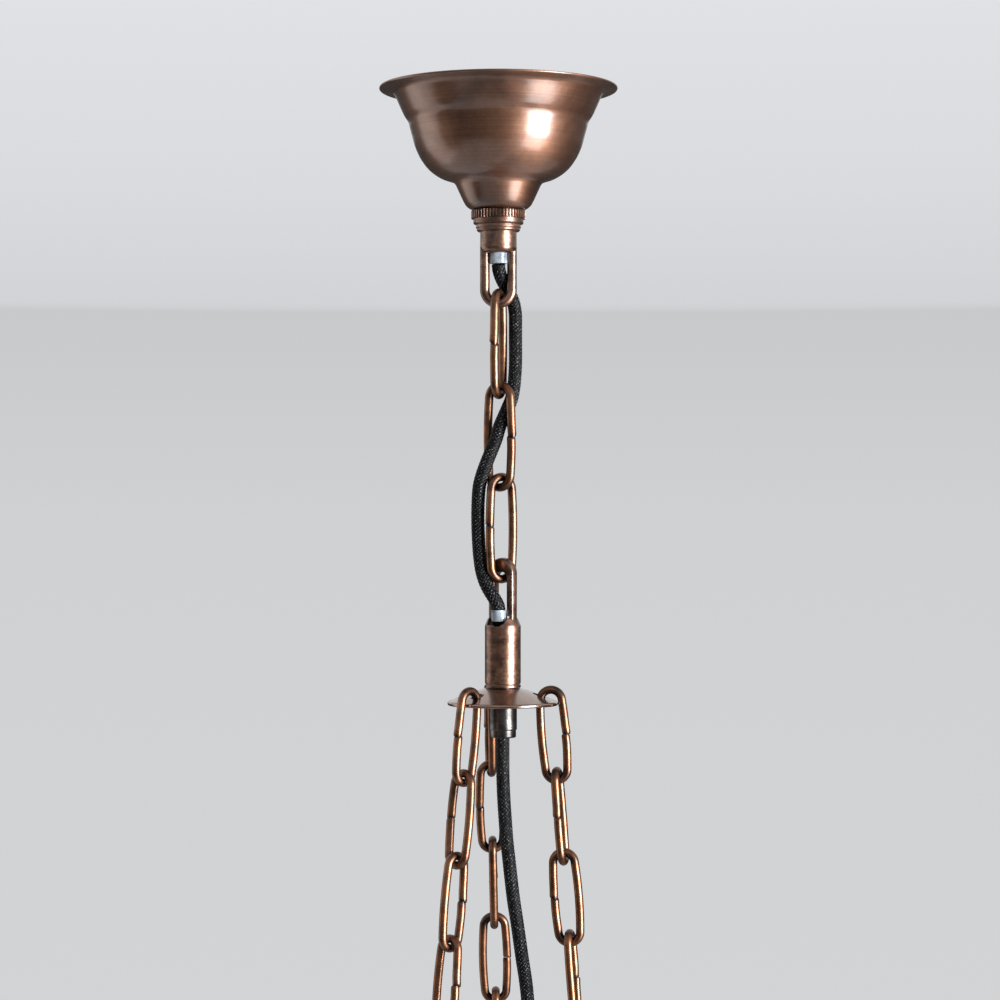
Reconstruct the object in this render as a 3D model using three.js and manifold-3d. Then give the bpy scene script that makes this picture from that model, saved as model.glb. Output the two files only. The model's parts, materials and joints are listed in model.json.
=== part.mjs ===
// Upper suspension of a chandelier: ceiling rose, link chain with a woven-in flex, chain hanger with
// three chain legs and hooks, and the lampholder that the flex feeds.
// Millimetres, +Z up. The origin is the centre of the ceiling plate's upper face.
import * as THREE from "three";
import Module from "manifold-3d";
import { mergeVertices } from "three/addons/utils/BufferGeometryUtils.js";

const wasm = await Module();
wasm.setup();

const gap = 0.3; // clearance between pieces that rest on or slide over each other
const linkPlay = 0.45; // clearance between a chain link and the bar it hangs on
const eyePlay = 1.05; // clearance between the hanger's eye and the link it hangs on
const edgeBreak = 0.4; // height of the broken edges on turned pieces
const overshoot = 1; // how far a cutting shape passes the faces that it cuts
const roundSides = 22; // facets round small turned pieces

// Ceiling plate and bracket inside the rose
const plateRadius = 34;
const plateThickness = 1.6;
const plateScrewSpacing = 56;
const plateScrewHole = 5;
const plateCableHole = 12;
const plateCableOffset = 22;
const bracketWidth = 16;
const bracketThickness = 2;
const bracketSpan = 30;
const bracketFoot = 8;
const bracketDepth = 32; // from the ceiling to the underside of the bridge
const studRadius = 5;
const studBore = 3.5;
const studAboveBridge = 9;
const nutAcrossFlats = 15;
const nutHeight = 5;

// Terminal block and wires
const blockLength = 26;
const blockDepth = 11;
const blockHeight = 10;
const blockOffset = 24;
const terminalPitch = 7;
const terminalHole = 1.6;
const terminalDepth = 4;
const terminalWall = 1; // between a wire hole and its screw's hole
const screwRadius = 1.4;
const screwSlotWidth = 0.5;
const screwSlotDepth = 0.6;
const coreRadius = 1.1;

// Loop fitting below the rose
const fittingRadius = 8.3;
const fittingLength = 27;
const fittingInRose = 7.4; // how far its top stands above the mouth of the rose
const fittingSocket = 14; // depth of the bore that takes the stud
const fittingEdge = 1.4; // rounding at its lower end
const loopWire = 1.95; // radius of the bar of the loop
const loopDrop = 22.5; // from the fitting's lower end to the centre of the bar
const loopStandout = 0.1; // how far the legs of the loop stand out of the fitting's side
const loopRoot = 3; // how far the legs run into the fitting

// Rose cover and lock ring
const roseRadius = 54;
const roseDepth = 55.4;
const roseWall = 0.9;
const mouthPlay = 0.7; // clearance between the rose and the loop fitting
const knurlRadius = 12.35;
const knurlDepth = 0.5;
const knurlHeight = 3.8;
const knurlTeeth = 50;
const ringLipRadius = 11.4;
const ringLipHeight = 2;
const ringBeadRadius = 10.2;
const ringBeadHeight = 2;
const ringTaper = 1.8;

const roseBottom = -roseDepth;
const ringTop = roseBottom - gap;
const ringBore = fittingRadius + gap;
const fittingTop = roseBottom + fittingInRose;
const fittingBottom = fittingTop - fittingLength;
const loopBarHeight = fittingBottom - loopDrop;
const loopHalfSpan = fittingRadius - loopWire + loopStandout;

// Flex and its grips
const flexRadius = 2.9;
const gripClearance = 0.25;
const gripWall = 1.05;
const slotGripWall = 0.55;
const slotGripLength = 11.5;
const slotGripShow = 1.5; // how far the grip passes the end of the inner stretch of flex
const gripLength = 16.7;
const gripShow = 4.7; // how far the grip stands out of the loop fitting
const gripBore = flexRadius + gripClearance;
const gripRadius = gripBore + gripWall;
const slotGripRadius = gripBore + slotGripWall;
const gripBottom = fittingBottom - gripShow;
const gripTop = gripBottom + gripLength;

// Upper chain
const chainWire = 2.05; // radius
const chainLength = 50.25;
const chainWidth = 17;
const chainBend = 6.2; // radius of the centre line at a link's ends
const splitWidth = 0.5;
const chainYaws = [72.6, -35.6, 37.6];
const chainDrift = [0.1, 0.6, 1.4]; // sideways lean of the hanging chain
const chainSplits = [-1, 1, -1]; // which side of each link is split
const chainSplitHeights = [0.5, 0.5, 0.52];

// Heights of the bars that the links and the hanger hang on
const barHeights = [loopBarHeight];
chainYaws.forEach((yaw, i) => {
  const barWire = i ? chainWire : loopWire;
  barHeights.push(barHeights[i] + barWire + linkPlay + chainWire - (chainLength - 2 * chainWire));
});

// Hanger
const hangerX = 2;
const hangerYaw = -38;
const eyeWidth = 13;
const eyeSlot = 7;
const eyeThickness = 4.8;
const eyeEdge = 0.7;
const eyeArch = 6.3; // metal above the slot
const eyeHeight = 27.3; // from the top of the eye to the shoulder
const bodyRadius = 8.15;
const shoulderHeight = 3.5;
const bodyHeight = 31.6; // with the shoulder
const bodyGroove = 0.3; // depth and height of the groove above the body's lower lip
const bodyLip = 1.5;
const bodyThread = 5; // radius of the bore from below
const bodyThreadDepth = 12;
const flexEntry = 3; // how far in front of the axis the flex enters
const flexEntryRise = 2.1; // how far above the shoulder the flex's inner stretch ends
const passageClearance = 0.5; // between the flex's grip and its slanted passage
const eyeTop = barHeights[chainYaws.length] + chainWire + eyePlay + eyeArch;
const shoulderTop = eyeTop - eyeHeight;
const shoulderBottom = shoulderTop - shoulderHeight;
const bodyBottom = shoulderTop - bodyHeight;
const threadTop = bodyBottom + bodyThreadDepth;
const passageBase = threadTop - overshoot; // where the slanted passage leaves the axis
const passageRun = shoulderTop + flexEntryRise - passageBase;

// Leg disc and bush
const discRadius = 25.1;
const discThickness = 1.7;
const discFlat = 8; // radius of the level middle
const discDrop = 6.2; // fall of the top from the middle to the rim
const discFall = 1.1; // exponent of that fall
const discHole = 3; // radius
const discHoleInset = 8.2; // from the rim to the centres of the holes
const bushHeadRadius = 6.4;
const bushTipRadius = 6;
const bushTipHeight = 3.8;
const bushEdge = 0.8;
const bushDrop = 22.7; // from the hanger's lower face to the end of the bush
const bushBore = 3.5;
const discTop = bodyBottom - gap;
const discHoleCircle = discRadius - discHoleInset;
const bushBottom = bodyBottom - bushDrop;
const bushStem = bodyThread - gap;

// Chain legs
const legWire = 1.9; // radius
const legLength = 44.75;
const legWidth = 15.1;
const legBend = 5.1; // radius of the centre line at a link's ends
const legLinks = 5;
const legSeatInset = 2.8; // from the disc's rim
const legSeatDrop = 0.5; // below the disc's top at the outer side of a hole
const rightLeg = { name: "right", azimuth: -13, yaws: [-13, 77, -13, 77, -13], splits: [1, -1, -1, 1, 1] };
const rearLeg = { name: "rear", azimuth: 107, yaws: [98, 13, 90, 0, 90], splits: [1, -1, 1, 1, 1] };
const leftLeg = { name: "left", azimuth: 227, yaws: [227, 317, 227, 317, 227], splits: [1, -1, -1, 1, 1] };
// How far each leg hangs outwards and sideways for each millimetre down, and how far its seat stands aside
const legs = [
  { ...rightLeg, splay: 0.081, lean: 0, aside: 0 },
  { ...rearLeg, splay: 0.16, lean: -0.07, aside: -0.4 },
  { ...leftLeg, splay: 0.118, lean: 0, aside: 0.5 },
];
const hookWire = 1.6; // radius
const hookRing = 4.6; // radius of the eye's centre line
const hookBend = 6; // radius of the cup's centre line
const hookReach = 23; // from the centre of the eye to the centre of the cup
const hookTip = 0.4; // how far the end of the wire flares

// Lampholder
const holderX = 6.8;
const holderDrop = 208.4; // from the bush to the top of the cap
const holderRadius = 19;
const holderWall = 1.2;
const capHeight = 18;
const capNeckHeight = 4;
const capDomeHeight = 11;
const holderGripShow = 3;
const holderGripDepth = 7;
const insertHeight = 10;
const insertInCap = 1.9;
const insertWireHole = 1.5; // radius
const insertWireOffset = 9;
const contactWidth = 3.9;
const contactDepth = 7.9;
const contactRecess = 1.2;
const contactStandout = 1.6; // below the insert
const skirtHeight = 30;
const skirtFloor = 2; // thickness of the skirt's inturned end
const socketRadius = 13.5;
const socketWall = 0.7;
const socketHeight = 20;
const shadeRingWall = 1.4;
const shadeRingRadius = 26;
const shadeRingFlange = 2; // thickness
const shadeRingDrop = 9; // below the top of the skirt
const shadeRingHeight = 6;
const holderTop = bushBottom - holderDrop;

// Routes of the flex, as points on its centre line
const inletBend = 8;
const inletRise = 1; // how far above the end of the grip the inner stretch ends
const insideSlack = 0.1; // how much thinner the flex is drawn inside the hanger
const upperRoute = [
  [0, 0, -80], [0.2, 0.5, -82.3], [1.3, 2.5, -85.8], [3.2, 5.1, -89.4], [5.2, 7.1, -92.9], [6.8, 7.8, -96.6],
  [7.7, 7.7, -101.5], [7.8, 6.9, -107.5], [7.8, 5.7, -113.5], [7.8, 4.1, -123.3], [7.5, 3.1, -130.1],
  [6.9, 2.4, -136], [5.9, 1.8, -141], [4.3, 1.1, -145], [2.3, 0.4, -149.6], [0.6, -0.3, -153.6],
  [-0.9, -1, -158.7], [-3, -1.7, -164.2], [-5.2, -1.9, -169.6], [-7.2, -1.6, -175.1], [-8.6, -1.1, -180.5],
  [-9.2, -0.5, -188], [-9.3, 0, -197], [-9, 0.1, -205], [-8.5, 0, -212], [-7.5, -0.2, -219],
  [-6, -1.5, -224], [-4, -2.9, -228], [-1.8, -3.5, -231.5], [-0.1, -3, -235], [0.15, -2.45, -237.6],
];
const lowerRoute = [
  [2, 0, -294.9], [2, 0, -304], [2.1, 0, -313.9], [2.5, 0, -323], [3.1, 0, -332.1], [3.8, 0, -341.2],
  [4.8, 0, -350.2], [5.8, 0, -359.3], [6.9, 0, -368.4], [8.3, 0, -377.5], [9.6, 0, -386.5],
  [10.9, 0, -395.6], [12.3, 0, -404.7], [13.2, 0, -413], [13.7, 0, -424], [13.3, 0, -436],
  [12.1, 0, -448], [10.4, 0, -460], [8.7, 0, -472], [7.4, 0, -484], [6.9, 0, -494], [6.8, 0, -499],
  [6.8, 0, -509],
];

const copper = { color: 0x7a5240, roughness: 0.38, metalness: 0.9 };
const chainCopper = { color: 0x9a6238, roughness: 0.32, metalness: 0.9 };
const zincSteel = { color: 0xa9acb0, roughness: 0.4, metalness: 0.9 };
const braid = { color: 0x17181a, roughness: 0.85, metalness: 0 };
const clearPlastic = { color: 0xc9d2dc, roughness: 0.35, metalness: 0 };
const darkMetal = { color: 0x2c2b2d, roughness: 0.35, metalness: 0.8 };
const whitePlastic = { color: 0xe8e6e0, roughness: 0.45, metalness: 0 };
const porcelain = { color: 0xf0ede4, roughness: 0.25, metalness: 0 };
const brass = { color: 0xb08d4f, roughness: 0.35, metalness: 0.9 };

const suspension = new THREE.Group();

const radians = (angle) => (angle * Math.PI) / 180;
const degrees = (angle) => (angle * 180) / Math.PI;
const along = (azimuth) => new THREE.Vector3(Math.cos(radians(azimuth)), Math.sin(radians(azimuth)), 0);

// A closed body with shared corners and its faces pointing out
function closed(geometry) {
  const bare = geometry.index ? geometry.toNonIndexed() : geometry.clone();
  for (const name of Object.keys(bare.attributes)) if (name !== "position") bare.deleteAttribute(name);
  const merged = mergeVertices(bare, 1e-4);
  const p = merged.attributes.position.array;
  const old = merged.index.array;
  const index = [];
  let volume = 0;
  for (let i = 0; i < old.length; i += 3) {
    const [a, b, c] = [old[i], old[i + 1], old[i + 2]];
    if (a === b || b === c || c === a) continue;
    index.push(a, b, c);
    const [u, v, w] = [a, b, c].map((k) => new THREE.Vector3(p[3 * k], p[3 * k + 1], p[3 * k + 2]));
    volume += u.dot(v.cross(w));
  }
  if (volume < 0) index.reverse();
  merged.setIndex(index);
  return merged;
}

function solidOf(geometry) {
  const body = closed(geometry);
  const vertProperties = new Float32Array(body.attributes.position.array);
  const triVerts = new Uint32Array(body.index.array);
  return new wasm.Manifold(new wasm.Mesh({ numProp: 3, vertProperties, triVerts }));
}

function geometryOf(solid) {
  const mesh = solid.getMesh();
  const geometry = new THREE.BufferGeometry();
  geometry.setAttribute("position", new THREE.BufferAttribute(mesh.vertProperties, 3));
  geometry.setIndex(new THREE.BufferAttribute(mesh.triVerts, 1));
  return geometry;
}

// base, joined with added pieces and cut by removed ones
function shaped(base, added, removed = []) {
  let solid = solidOf(base);
  for (const piece of added) solid = solid.add(solidOf(piece));
  for (const piece of removed) solid = solid.subtract(solidOf(piece));
  return geometryOf(solid);
}

function piece(name, geometry, look, place) {
  const mesh = new THREE.Mesh(closed(geometry), new THREE.MeshStandardMaterial(look));
  mesh.name = name;
  if (place) place(mesh);
  suspension.add(mesh);
  return mesh;
}

// A turned piece about Z from [radius, height] points; a closed outline returns to its first point
function turned(outline, sides = roundSides) {
  const points = outline.map(([r, z]) => new THREE.Vector2(r, z));
  return new THREE.LatheGeometry(points, sides).rotateX(Math.PI / 2);
}

function ringOf(inner, outer, low, high, sides = roundSides) {
  return turned([[inner, low], [outer, low], [outer, high], [inner, high], [inner, low]], sides);
}

function rod(radius, low, high, sides = roundSides) {
  return turned([[0, low], [radius, low], [radius, high], [0, high]], sides);
}

function block(width, depth, low, high, x = 0, y = 0) {
  return new THREE.BoxGeometry(width, depth, high - low).translate(x, y, (low + high) / 2);
}

function roundSection(radius, sides) {
  const shape = new THREE.Shape();
  for (let i = 0; i < sides; i++) {
    const angle = (2 * Math.PI * (i + 0.5)) / sides;
    const [x, y] = [radius * Math.cos(angle), radius * Math.sin(angle)];
    if (i) shape.lineTo(x, y);
    else shape.moveTo(x, y);
  }
  shape.closePath();
  return shape;
}

function tube(curve, radius, steps, sides = 8) {
  return new THREE.ExtrudeGeometry(roundSection(radius, sides), { extrudePath: curve, steps });
}

function routed(points, radius, steps, sides = 8) {
  const curve = new THREE.CatmullRomCurve3(points.map((p) => new THREE.Vector3(...p)), false, "centripetal");
  return tube(curve, radius, steps, sides);
}

// A run of lines and arcs in the XZ plane, with a chosen number of steps on each
class BentWire extends THREE.Curve {
  constructor(runs) {
    super();
    this.runs = runs;
    this.total = runs.reduce((sum, run) => sum + run.steps, 0);
  }
  getPoint(t) {
    let left = Math.min(t, 1) * this.total;
    let run = this.runs[0];
    for (run of this.runs) {
      if (left <= run.steps) break;
      left -= run.steps;
    }
    return run.at(Math.min(left / run.steps, 1));
  }
  getUtoTmapping(u) {
    return u;
  }
}

function straight(x1, z1, x2, z2, steps = 1) {
  const [from, to] = [new THREE.Vector3(x1, 0, z1), new THREE.Vector3(x2, 0, z2)];
  return { steps, at: (t) => from.clone().lerp(to, t) };
}

function bend(x, z, radius, fromDegrees, toDegrees, steps) {
  const angle = (t) => radians(fromDegrees + (toDegrees - fromDegrees) * t);
  const at = (t) => new THREE.Vector3(x + radius * Math.cos(angle(t)), 0, z + radius * Math.sin(angle(t)));
  return { steps, at };
}

// One chain link in the XZ plane, split in one side. The bar that it hangs on has its centre at the origin.
// The sides are long flat arcs that run into the bends at the two ends.
function link(wire, length, width, endBend, barWire, split, splitHeight, steps) {
  const halfHeight = length / 2 - wire;
  const halfWidth = width / 2 - wire;
  const middle = barWire + linkPlay + wire - halfHeight;
  const reach = halfHeight - endBend;
  const side = (halfWidth ** 2 + reach ** 2 - endBend ** 2) / (2 * (halfWidth - endBend));
  const shift = side - halfWidth;
  const meet = degrees(Math.atan2(reach, shift));
  const cut = degrees(Math.asin(((2 * splitHeight - 1) * halfHeight) / side));
  const halfSplit = degrees(splitWidth / 2 / side);
  const curve = new BentWire([
    bend(-shift, middle, side, cut + halfSplit, meet, 2),
    bend(0, middle + reach, endBend, meet, 180 - meet, steps),
    bend(shift, middle, side, 180 - meet, 180 + meet, 4),
    bend(0, middle - reach, endBend, 180 + meet, 360 - meet, steps),
    bend(-shift, middle, side, -meet, cut - halfSplit, 2),
  ]);
  const geometry = tube(curve, wire, curve.total);
  return split < 0 ? geometry.rotateZ(Math.PI) : geometry;
}

// Turns a piece so that its local X lies in the vertical plane at this yaw, and its -Z points down the line
function aim(mesh, origin, down, yawDegrees) {
  const up = down.clone().negate();
  const across = along(yawDegrees);
  across.addScaledVector(up, -across.dot(up)).normalize();
  const normal = up.clone().cross(across);
  mesh.quaternion.setFromRotationMatrix(new THREE.Matrix4().makeBasis(across, normal, up));
  mesh.position.copy(origin);
}

function ceilingPieces() {
  const half = plateScrewSpacing / 2;
  const drill = (radius) => rod(radius, -plateThickness - overshoot, overshoot, 16);
  const cuts = [
    drill(plateScrewHole / 2).translate(half, 0, 0),
    drill(plateScrewHole / 2).translate(-half, 0, 0),
    drill(plateCableHole / 2).translate(0, -plateCableOffset, 0),
  ];
  piece("ceiling_plate", shaped(rod(plateRadius, -plateThickness, 0, 40), [], cuts), zincSteel);

  const footTop = -plateThickness - gap;
  const x = bracketSpan / 2;
  const bridge = -bracketDepth;
  const outline = new THREE.Shape();
  outline.moveTo(-x, bridge);
  outline.lineTo(x, bridge);
  outline.lineTo(x, footTop - bracketThickness);
  outline.lineTo(x + bracketFoot, footTop - bracketThickness);
  outline.lineTo(x + bracketFoot, footTop);
  outline.lineTo(x - bracketThickness, footTop);
  outline.lineTo(x - bracketThickness, bridge + bracketThickness);
  outline.lineTo(-x + bracketThickness, bridge + bracketThickness);
  outline.lineTo(-x + bracketThickness, footTop);
  outline.lineTo(-x - bracketFoot, footTop);
  outline.lineTo(-x - bracketFoot, footTop - bracketThickness);
  outline.lineTo(-x, footTop - bracketThickness);
  outline.closePath();
  const strip = new THREE.ExtrudeGeometry(outline, { depth: bracketWidth, bevelEnabled: false });
  strip.rotateX(Math.PI / 2).translate(0, bracketWidth / 2, 0);
  const studHole = rod(studRadius + gap, bridge - overshoot, bridge + bracketThickness + overshoot);
  piece("bridge_bracket", shaped(strip, [], [studHole]), zincSteel);

  const studTop = bridge + bracketThickness + studAboveBridge;
  const studBottom = fittingTop - fittingSocket + gap;
  piece("threaded_stud", ringOf(studBore, studRadius, studBottom, studTop, 24), zincSteel);

  const nut = (top) => {
    const corner = nutAcrossFlats / 2 / Math.cos(Math.PI / 6);
    const thread = rod(studRadius + gap, top - nutHeight - overshoot, top + overshoot, 24);
    return shaped(rod(corner, top - nutHeight, top, 6), [], [thread]);
  };
  piece("upper_stud_nut", nut(bridge + bracketThickness + gap + nutHeight), brass);
  piece("lower_stud_nut", nut(bridge - gap), brass);
}

function terminalPieces() {
  const top = -plateThickness - gap;
  const middle = top - blockHeight / 2;
  const front = blockOffset - blockDepth / 2;
  const places = [-terminalPitch, 0, terminalPitch];
  const wireHoles = places.map((x) => {
    const hole = rod(terminalHole, 0, terminalDepth + overshoot, 12).rotateX(-Math.PI / 2);
    return hole.translate(x, front - overshoot, middle);
  });
  const screwDepth = blockHeight / 2 - terminalHole - terminalWall;
  const bottom = top - blockHeight;
  const screwHoles = places.map((x) =>
    rod(screwRadius + gap, bottom - overshoot, bottom + screwDepth, 12).translate(x, blockOffset, 0));
  const base = block(blockLength, blockDepth, bottom, top, 0, blockOffset);
  piece("terminal_block", shaped(base, [], [...wireHoles, ...screwHoles]), whitePlastic);

  const slot = block(screwSlotWidth, 2 * screwRadius + overshoot, -overshoot, screwSlotDepth);
  places.forEach((x, i) => {
    const screw = shaped(rod(screwRadius, 0, screwDepth - gap, 12), [], [slot]);
    piece(`terminal_screw_${i + 1}`, screw.translate(x, blockOffset, bottom), brass);
  });

  // The cores leave the flex's end as a triangle, then spread to the block
  const cores = [
    { name: "live_core", color: 0x6b3a1e, across: -1.33, up: -0.4 },
    { name: "earth_core", color: 0x3f7a3a, across: 0, up: 1.3 },
    { name: "neutral_core", color: 0x2a5fa8, across: 1.33, up: -0.4 },
  ];
  const startY = inletBend + gap;
  const startZ = -bracketDepth + studAboveBridge + inletBend;
  cores.forEach(({ name, color, across, up }, i) => {
    const route = [
      [across, startY, startZ + up],
      [1.1 * across, startY + 1.5, startZ + up + 0.3],
      [0.8 * places[i], front - 4.2, (startZ + up + middle) / 2 + 0.6],
      [places[i], front - 1.5, middle],
      [places[i], front + terminalDepth - gap, middle],
    ];
    piece(name, routed(route, coreRadius, 14, 8), { color, roughness: 0.5, metalness: 0 });
  });
}

// The closed outline of a thin wall under an outer profile that runs downwards
function wallUnder(profile, wall, rimInside, mouthInside) {
  const outer = profile.map(([r, z]) => new THREE.Vector2(r, z));
  const inner = outer.map((point, i) => {
    const before = outer[Math.max(i - 1, 0)];
    const after = outer[Math.min(i + 1, outer.length - 1)];
    const run = after.clone().sub(before).normalize();
    return new THREE.Vector2(point.x + run.y * wall, point.y - run.x * wall);
  });
  inner[0].set(...rimInside);
  inner[inner.length - 1].set(...mouthInside);
  return [...outer, ...inner.reverse(), outer[0]].map((point) => [point.x, point.y]);
}

function coverPieces() {
  // Radius and depth as shares of the rose's own: rim, flange, bell, sharp corner, throat, mouth
  const profile = [
    [1, 0], [0.996, 0.016], [0.874, 0.054], [0.841, 0.097], [0.824, 0.173], [0.789, 0.236], [0.746, 0.3],
    [0.711, 0.415], [0.685, 0.523], [0.641, 0.606], [0.572, 0.682], [0.474, 0.738], [0.37, 0.771],
    [0.328, 0.85], [0.285, 0.942], [0.248, 0.982], [0.215, 1],
  ].map(([r, z]) => [r * roseRadius, z * roseBottom]);
  const roseMouth = fittingRadius + mouthPlay;
  profile.push([roseMouth, roseBottom]);
  const rimInside = [roseRadius - 2 * roseWall, 0];
  const outline = wallUnder(profile, roseWall, rimInside, [roseMouth, roseBottom + roseWall]);
  piece("rose_cover", turned(outline, 34), copper);

  const teeth = new THREE.Shape();
  for (let i = 0; i < 2 * knurlTeeth; i++) {
    const r = i % 2 ? knurlRadius : knurlRadius - knurlDepth;
    const [x, y] = [r * Math.cos((Math.PI * i) / knurlTeeth), r * Math.sin((Math.PI * i) / knurlTeeth)];
    if (i) teeth.lineTo(x, y);
    else teeth.moveTo(x, y);
  }
  const band = new THREE.ExtrudeGeometry(teeth, { depth: knurlHeight, bevelEnabled: false });
  band.translate(0, 0, ringTop - knurlHeight);
  const lip = ringTop - knurlHeight;
  const bead = lip - ringLipHeight;
  const taper = bead - ringBeadHeight;
  const low = taper - ringTaper;
  const core = turned([
    [0, ringTop - edgeBreak], [ringLipRadius, ringTop - edgeBreak],
    [ringLipRadius, bead + edgeBreak], [ringLipRadius - edgeBreak, bead],
    [ringBeadRadius, bead - edgeBreak], [ringBeadRadius, taper + edgeBreak],
    [ringBeadRadius - edgeBreak, taper], [(ringBeadRadius + ringBore) / 2, low], [0, low],
  ], 36);
  const bore = rod(ringBore, low - overshoot, ringTop + overshoot, 36);
  piece("lock_ring", shaped(band, [core], [bore]), copper);
}

function fittingPieces() {
  const [edge, chamfer] = [fittingEdge, 0.3 * fittingEdge];
  const cylinder = turned([
    [0, fittingBottom], [fittingRadius - edge, fittingBottom],
    [fittingRadius - chamfer, fittingBottom + chamfer], [fittingRadius, fittingBottom + edge],
    [fittingRadius, fittingTop - edgeBreak], [fittingRadius - edgeBreak, fittingTop], [0, fittingTop],
  ], 36);
  const curve = new BentWire([
    straight(-loopHalfSpan, fittingBottom + loopRoot, -loopHalfSpan, loopBarHeight + loopHalfSpan),
    bend(0, loopBarHeight + loopHalfSpan, loopHalfSpan, 180, 360, 10),
    straight(loopHalfSpan, loopBarHeight + loopHalfSpan, loopHalfSpan, fittingBottom + loopRoot),
  ]);
  const bar = tube(curve, loopWire, curve.total, 12);
  const socketFloor = fittingTop - fittingSocket;
  const socket = rod(studRadius + gap, socketFloor, fittingTop + overshoot, 24);
  const passage = rod(gripRadius + gap, fittingBottom - overshoot, socketFloor + overshoot, 24);
  piece("loop_fitting", shaped(cylinder, [bar], [socket, passage]), copper);

  const grip = turned([
    [gripBore, gripTop], [gripRadius, gripTop], [gripRadius, gripBottom + edgeBreak],
    [gripRadius - edgeBreak, gripBottom], [gripBore, gripBottom], [gripBore, gripTop],
  ], 24);
  piece("upper_cord_grip", grip, clearPlastic);
}

function flexInlet() {
  const studTop = -bracketDepth + bracketThickness + studAboveBridge;
  const bendStart = studTop - overshoot;
  const curve = new BentWire([
    straight(0, gripBottom + inletRise, 0, bendStart, 2),
    bend(inletBend, bendStart, inletBend, 180, 90, 5),
  ]);
  piece("flex_inlet", tube(curve, flexRadius, curve.total, 12).rotateZ(Math.PI / 2), braid);
}

function upperChain() {
  const down = new THREE.Vector3(0, 0, -1);
  chainYaws.forEach((yaw, i) => {
    const barWire = i ? chainWire : loopWire;
    const [split, height] = [chainSplits[i], chainSplitHeights[i]];
    const geometry = link(chainWire, chainLength, chainWidth, chainBend, barWire, split, height, 8);
    const origin = new THREE.Vector3(chainDrift[i], 0, barHeights[i]);
    piece(`chain_link_${i + 1}`, geometry, chainCopper, (mesh) => aim(mesh, origin, down, yaw));
  });
}

function hangerPieces() {
  const half = eyeWidth / 2 - eyeEdge;
  const archCentre = eyeTop - eyeWidth / 2;
  const slotHalf = eyeSlot / 2 + eyeEdge;
  const slotTop = eyeTop - eyeArch - eyeSlot / 2;
  const outline = new THREE.Shape();
  outline.moveTo(-half, shoulderBottom - overshoot);
  outline.lineTo(half, shoulderBottom - overshoot);
  outline.lineTo(half, archCentre);
  outline.absarc(0, archCentre, half, 0, Math.PI, false);
  outline.closePath();
  const slot = new THREE.Path();
  slot.moveTo(slotHalf, shoulderTop - overshoot);
  slot.lineTo(-slotHalf, shoulderTop - overshoot);
  slot.lineTo(-slotHalf, slotTop);
  slot.absarc(0, slotTop, slotHalf, Math.PI, 0, true);
  slot.closePath();
  outline.holes.push(slot);
  const depth = eyeThickness - 2 * eyeEdge;
  const bevel = { bevelThickness: eyeEdge, bevelSize: eyeEdge, bevelSegments: 2 };
  const eye = new THREE.ExtrudeGeometry(outline, { depth, curveSegments: 6, ...bevel });
  eye.translate(0, 0, -depth / 2).rotateX(Math.PI / 2);

  const lip = bodyBottom + bodyLip;
  const waist = bodyRadius - bodyGroove;
  const body = turned([
    [0, bodyBottom], [waist, bodyBottom], [bodyRadius, bodyBottom + bodyGroove],
    [bodyRadius, lip - bodyGroove], [waist, lip], [waist, lip + bodyGroove],
    [bodyRadius, lip + 2 * bodyGroove], [bodyRadius, shoulderBottom],
    [eyeWidth / 2, shoulderTop], [0, shoulderTop],
  ], 28);
  const slotCut = block(eyeSlot, 3 * bodyRadius, shoulderBottom + gap, slotTop);
  const thread = rod(bodyThread, bodyBottom - overshoot, threadTop, 24);
  const slope = Math.atan2(flexEntry, passageRun);
  const passage = rod(slotGripRadius + passageClearance, 0, passageRun + overshoot, 24).rotateX(slope);
  passage.translate(0, 0, passageBase);
  const hanger = shaped(body, [eye], [slotCut, thread, passage]);
  const place = (mesh) => {
    mesh.position.set(hangerX, 0, 0);
    mesh.rotation.z = radians(hangerYaw);
  };
  piece("hanger", hanger, copper, place);

  const sleeveTop = passageRun + slotGripShow;
  const sleeve = ringOf(gripBore, slotGripRadius, sleeveTop - slotGripLength, sleeveTop, 24).rotateX(slope);
  sleeve.translate(0, 0, passageBase);
  piece("slot_cord_grip", sleeve, clearPlastic, place);
}

// Height of the disc's top: level to discFlat, then falling as a power of the distance
function discHeight(r) {
  return discTop - discDrop * ((Math.max(r, discFlat) - discFlat) / (discRadius - discFlat)) ** discFall;
}

function discPieces() {
  const stations = [0, 0.33, 0.69, 1].map((share) => discFlat + (discRadius - discFlat) * share);
  stations.unshift(bodyThread);
  const top = stations.map((r) => [r, discHeight(r)]);
  const under = [...stations].reverse().map((r) => [r, discHeight(r) - discThickness]);
  const plate = turned([...top, ...under, top[0]], 32);
  const holes = legs.map(({ azimuth }) => {
    const centre = along(azimuth).multiplyScalar(discHoleCircle);
    return rod(discHole, discTop - 2 * discDrop, discTop + overshoot, 14).translate(centre.x, centre.y, 0);
  });
  const place = (mesh) => mesh.position.set(hangerX, 0, 0);
  piece("leg_disc", shaped(plate, [], holes), copper, place);

  const stemTop = bodyBottom + bodyThreadDepth - gap;
  const headTop = discHeight(bodyThread) - discThickness - gap;
  const step = bushBottom + bushTipHeight;
  const bush = turned([
    [bushBore, stemTop], [bushStem, stemTop], [bushStem, headTop], [bushHeadRadius, headTop],
    [bushHeadRadius, step + edgeBreak], [bushTipRadius, step], [bushTipRadius, bushBottom + bushEdge],
    [bushTipRadius - bushEdge, bushBottom], [bushBore, bushBottom], [bushBore, stemTop],
  ]);
  piece("disc_bush", bush, darkMetal, place);
}

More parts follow.
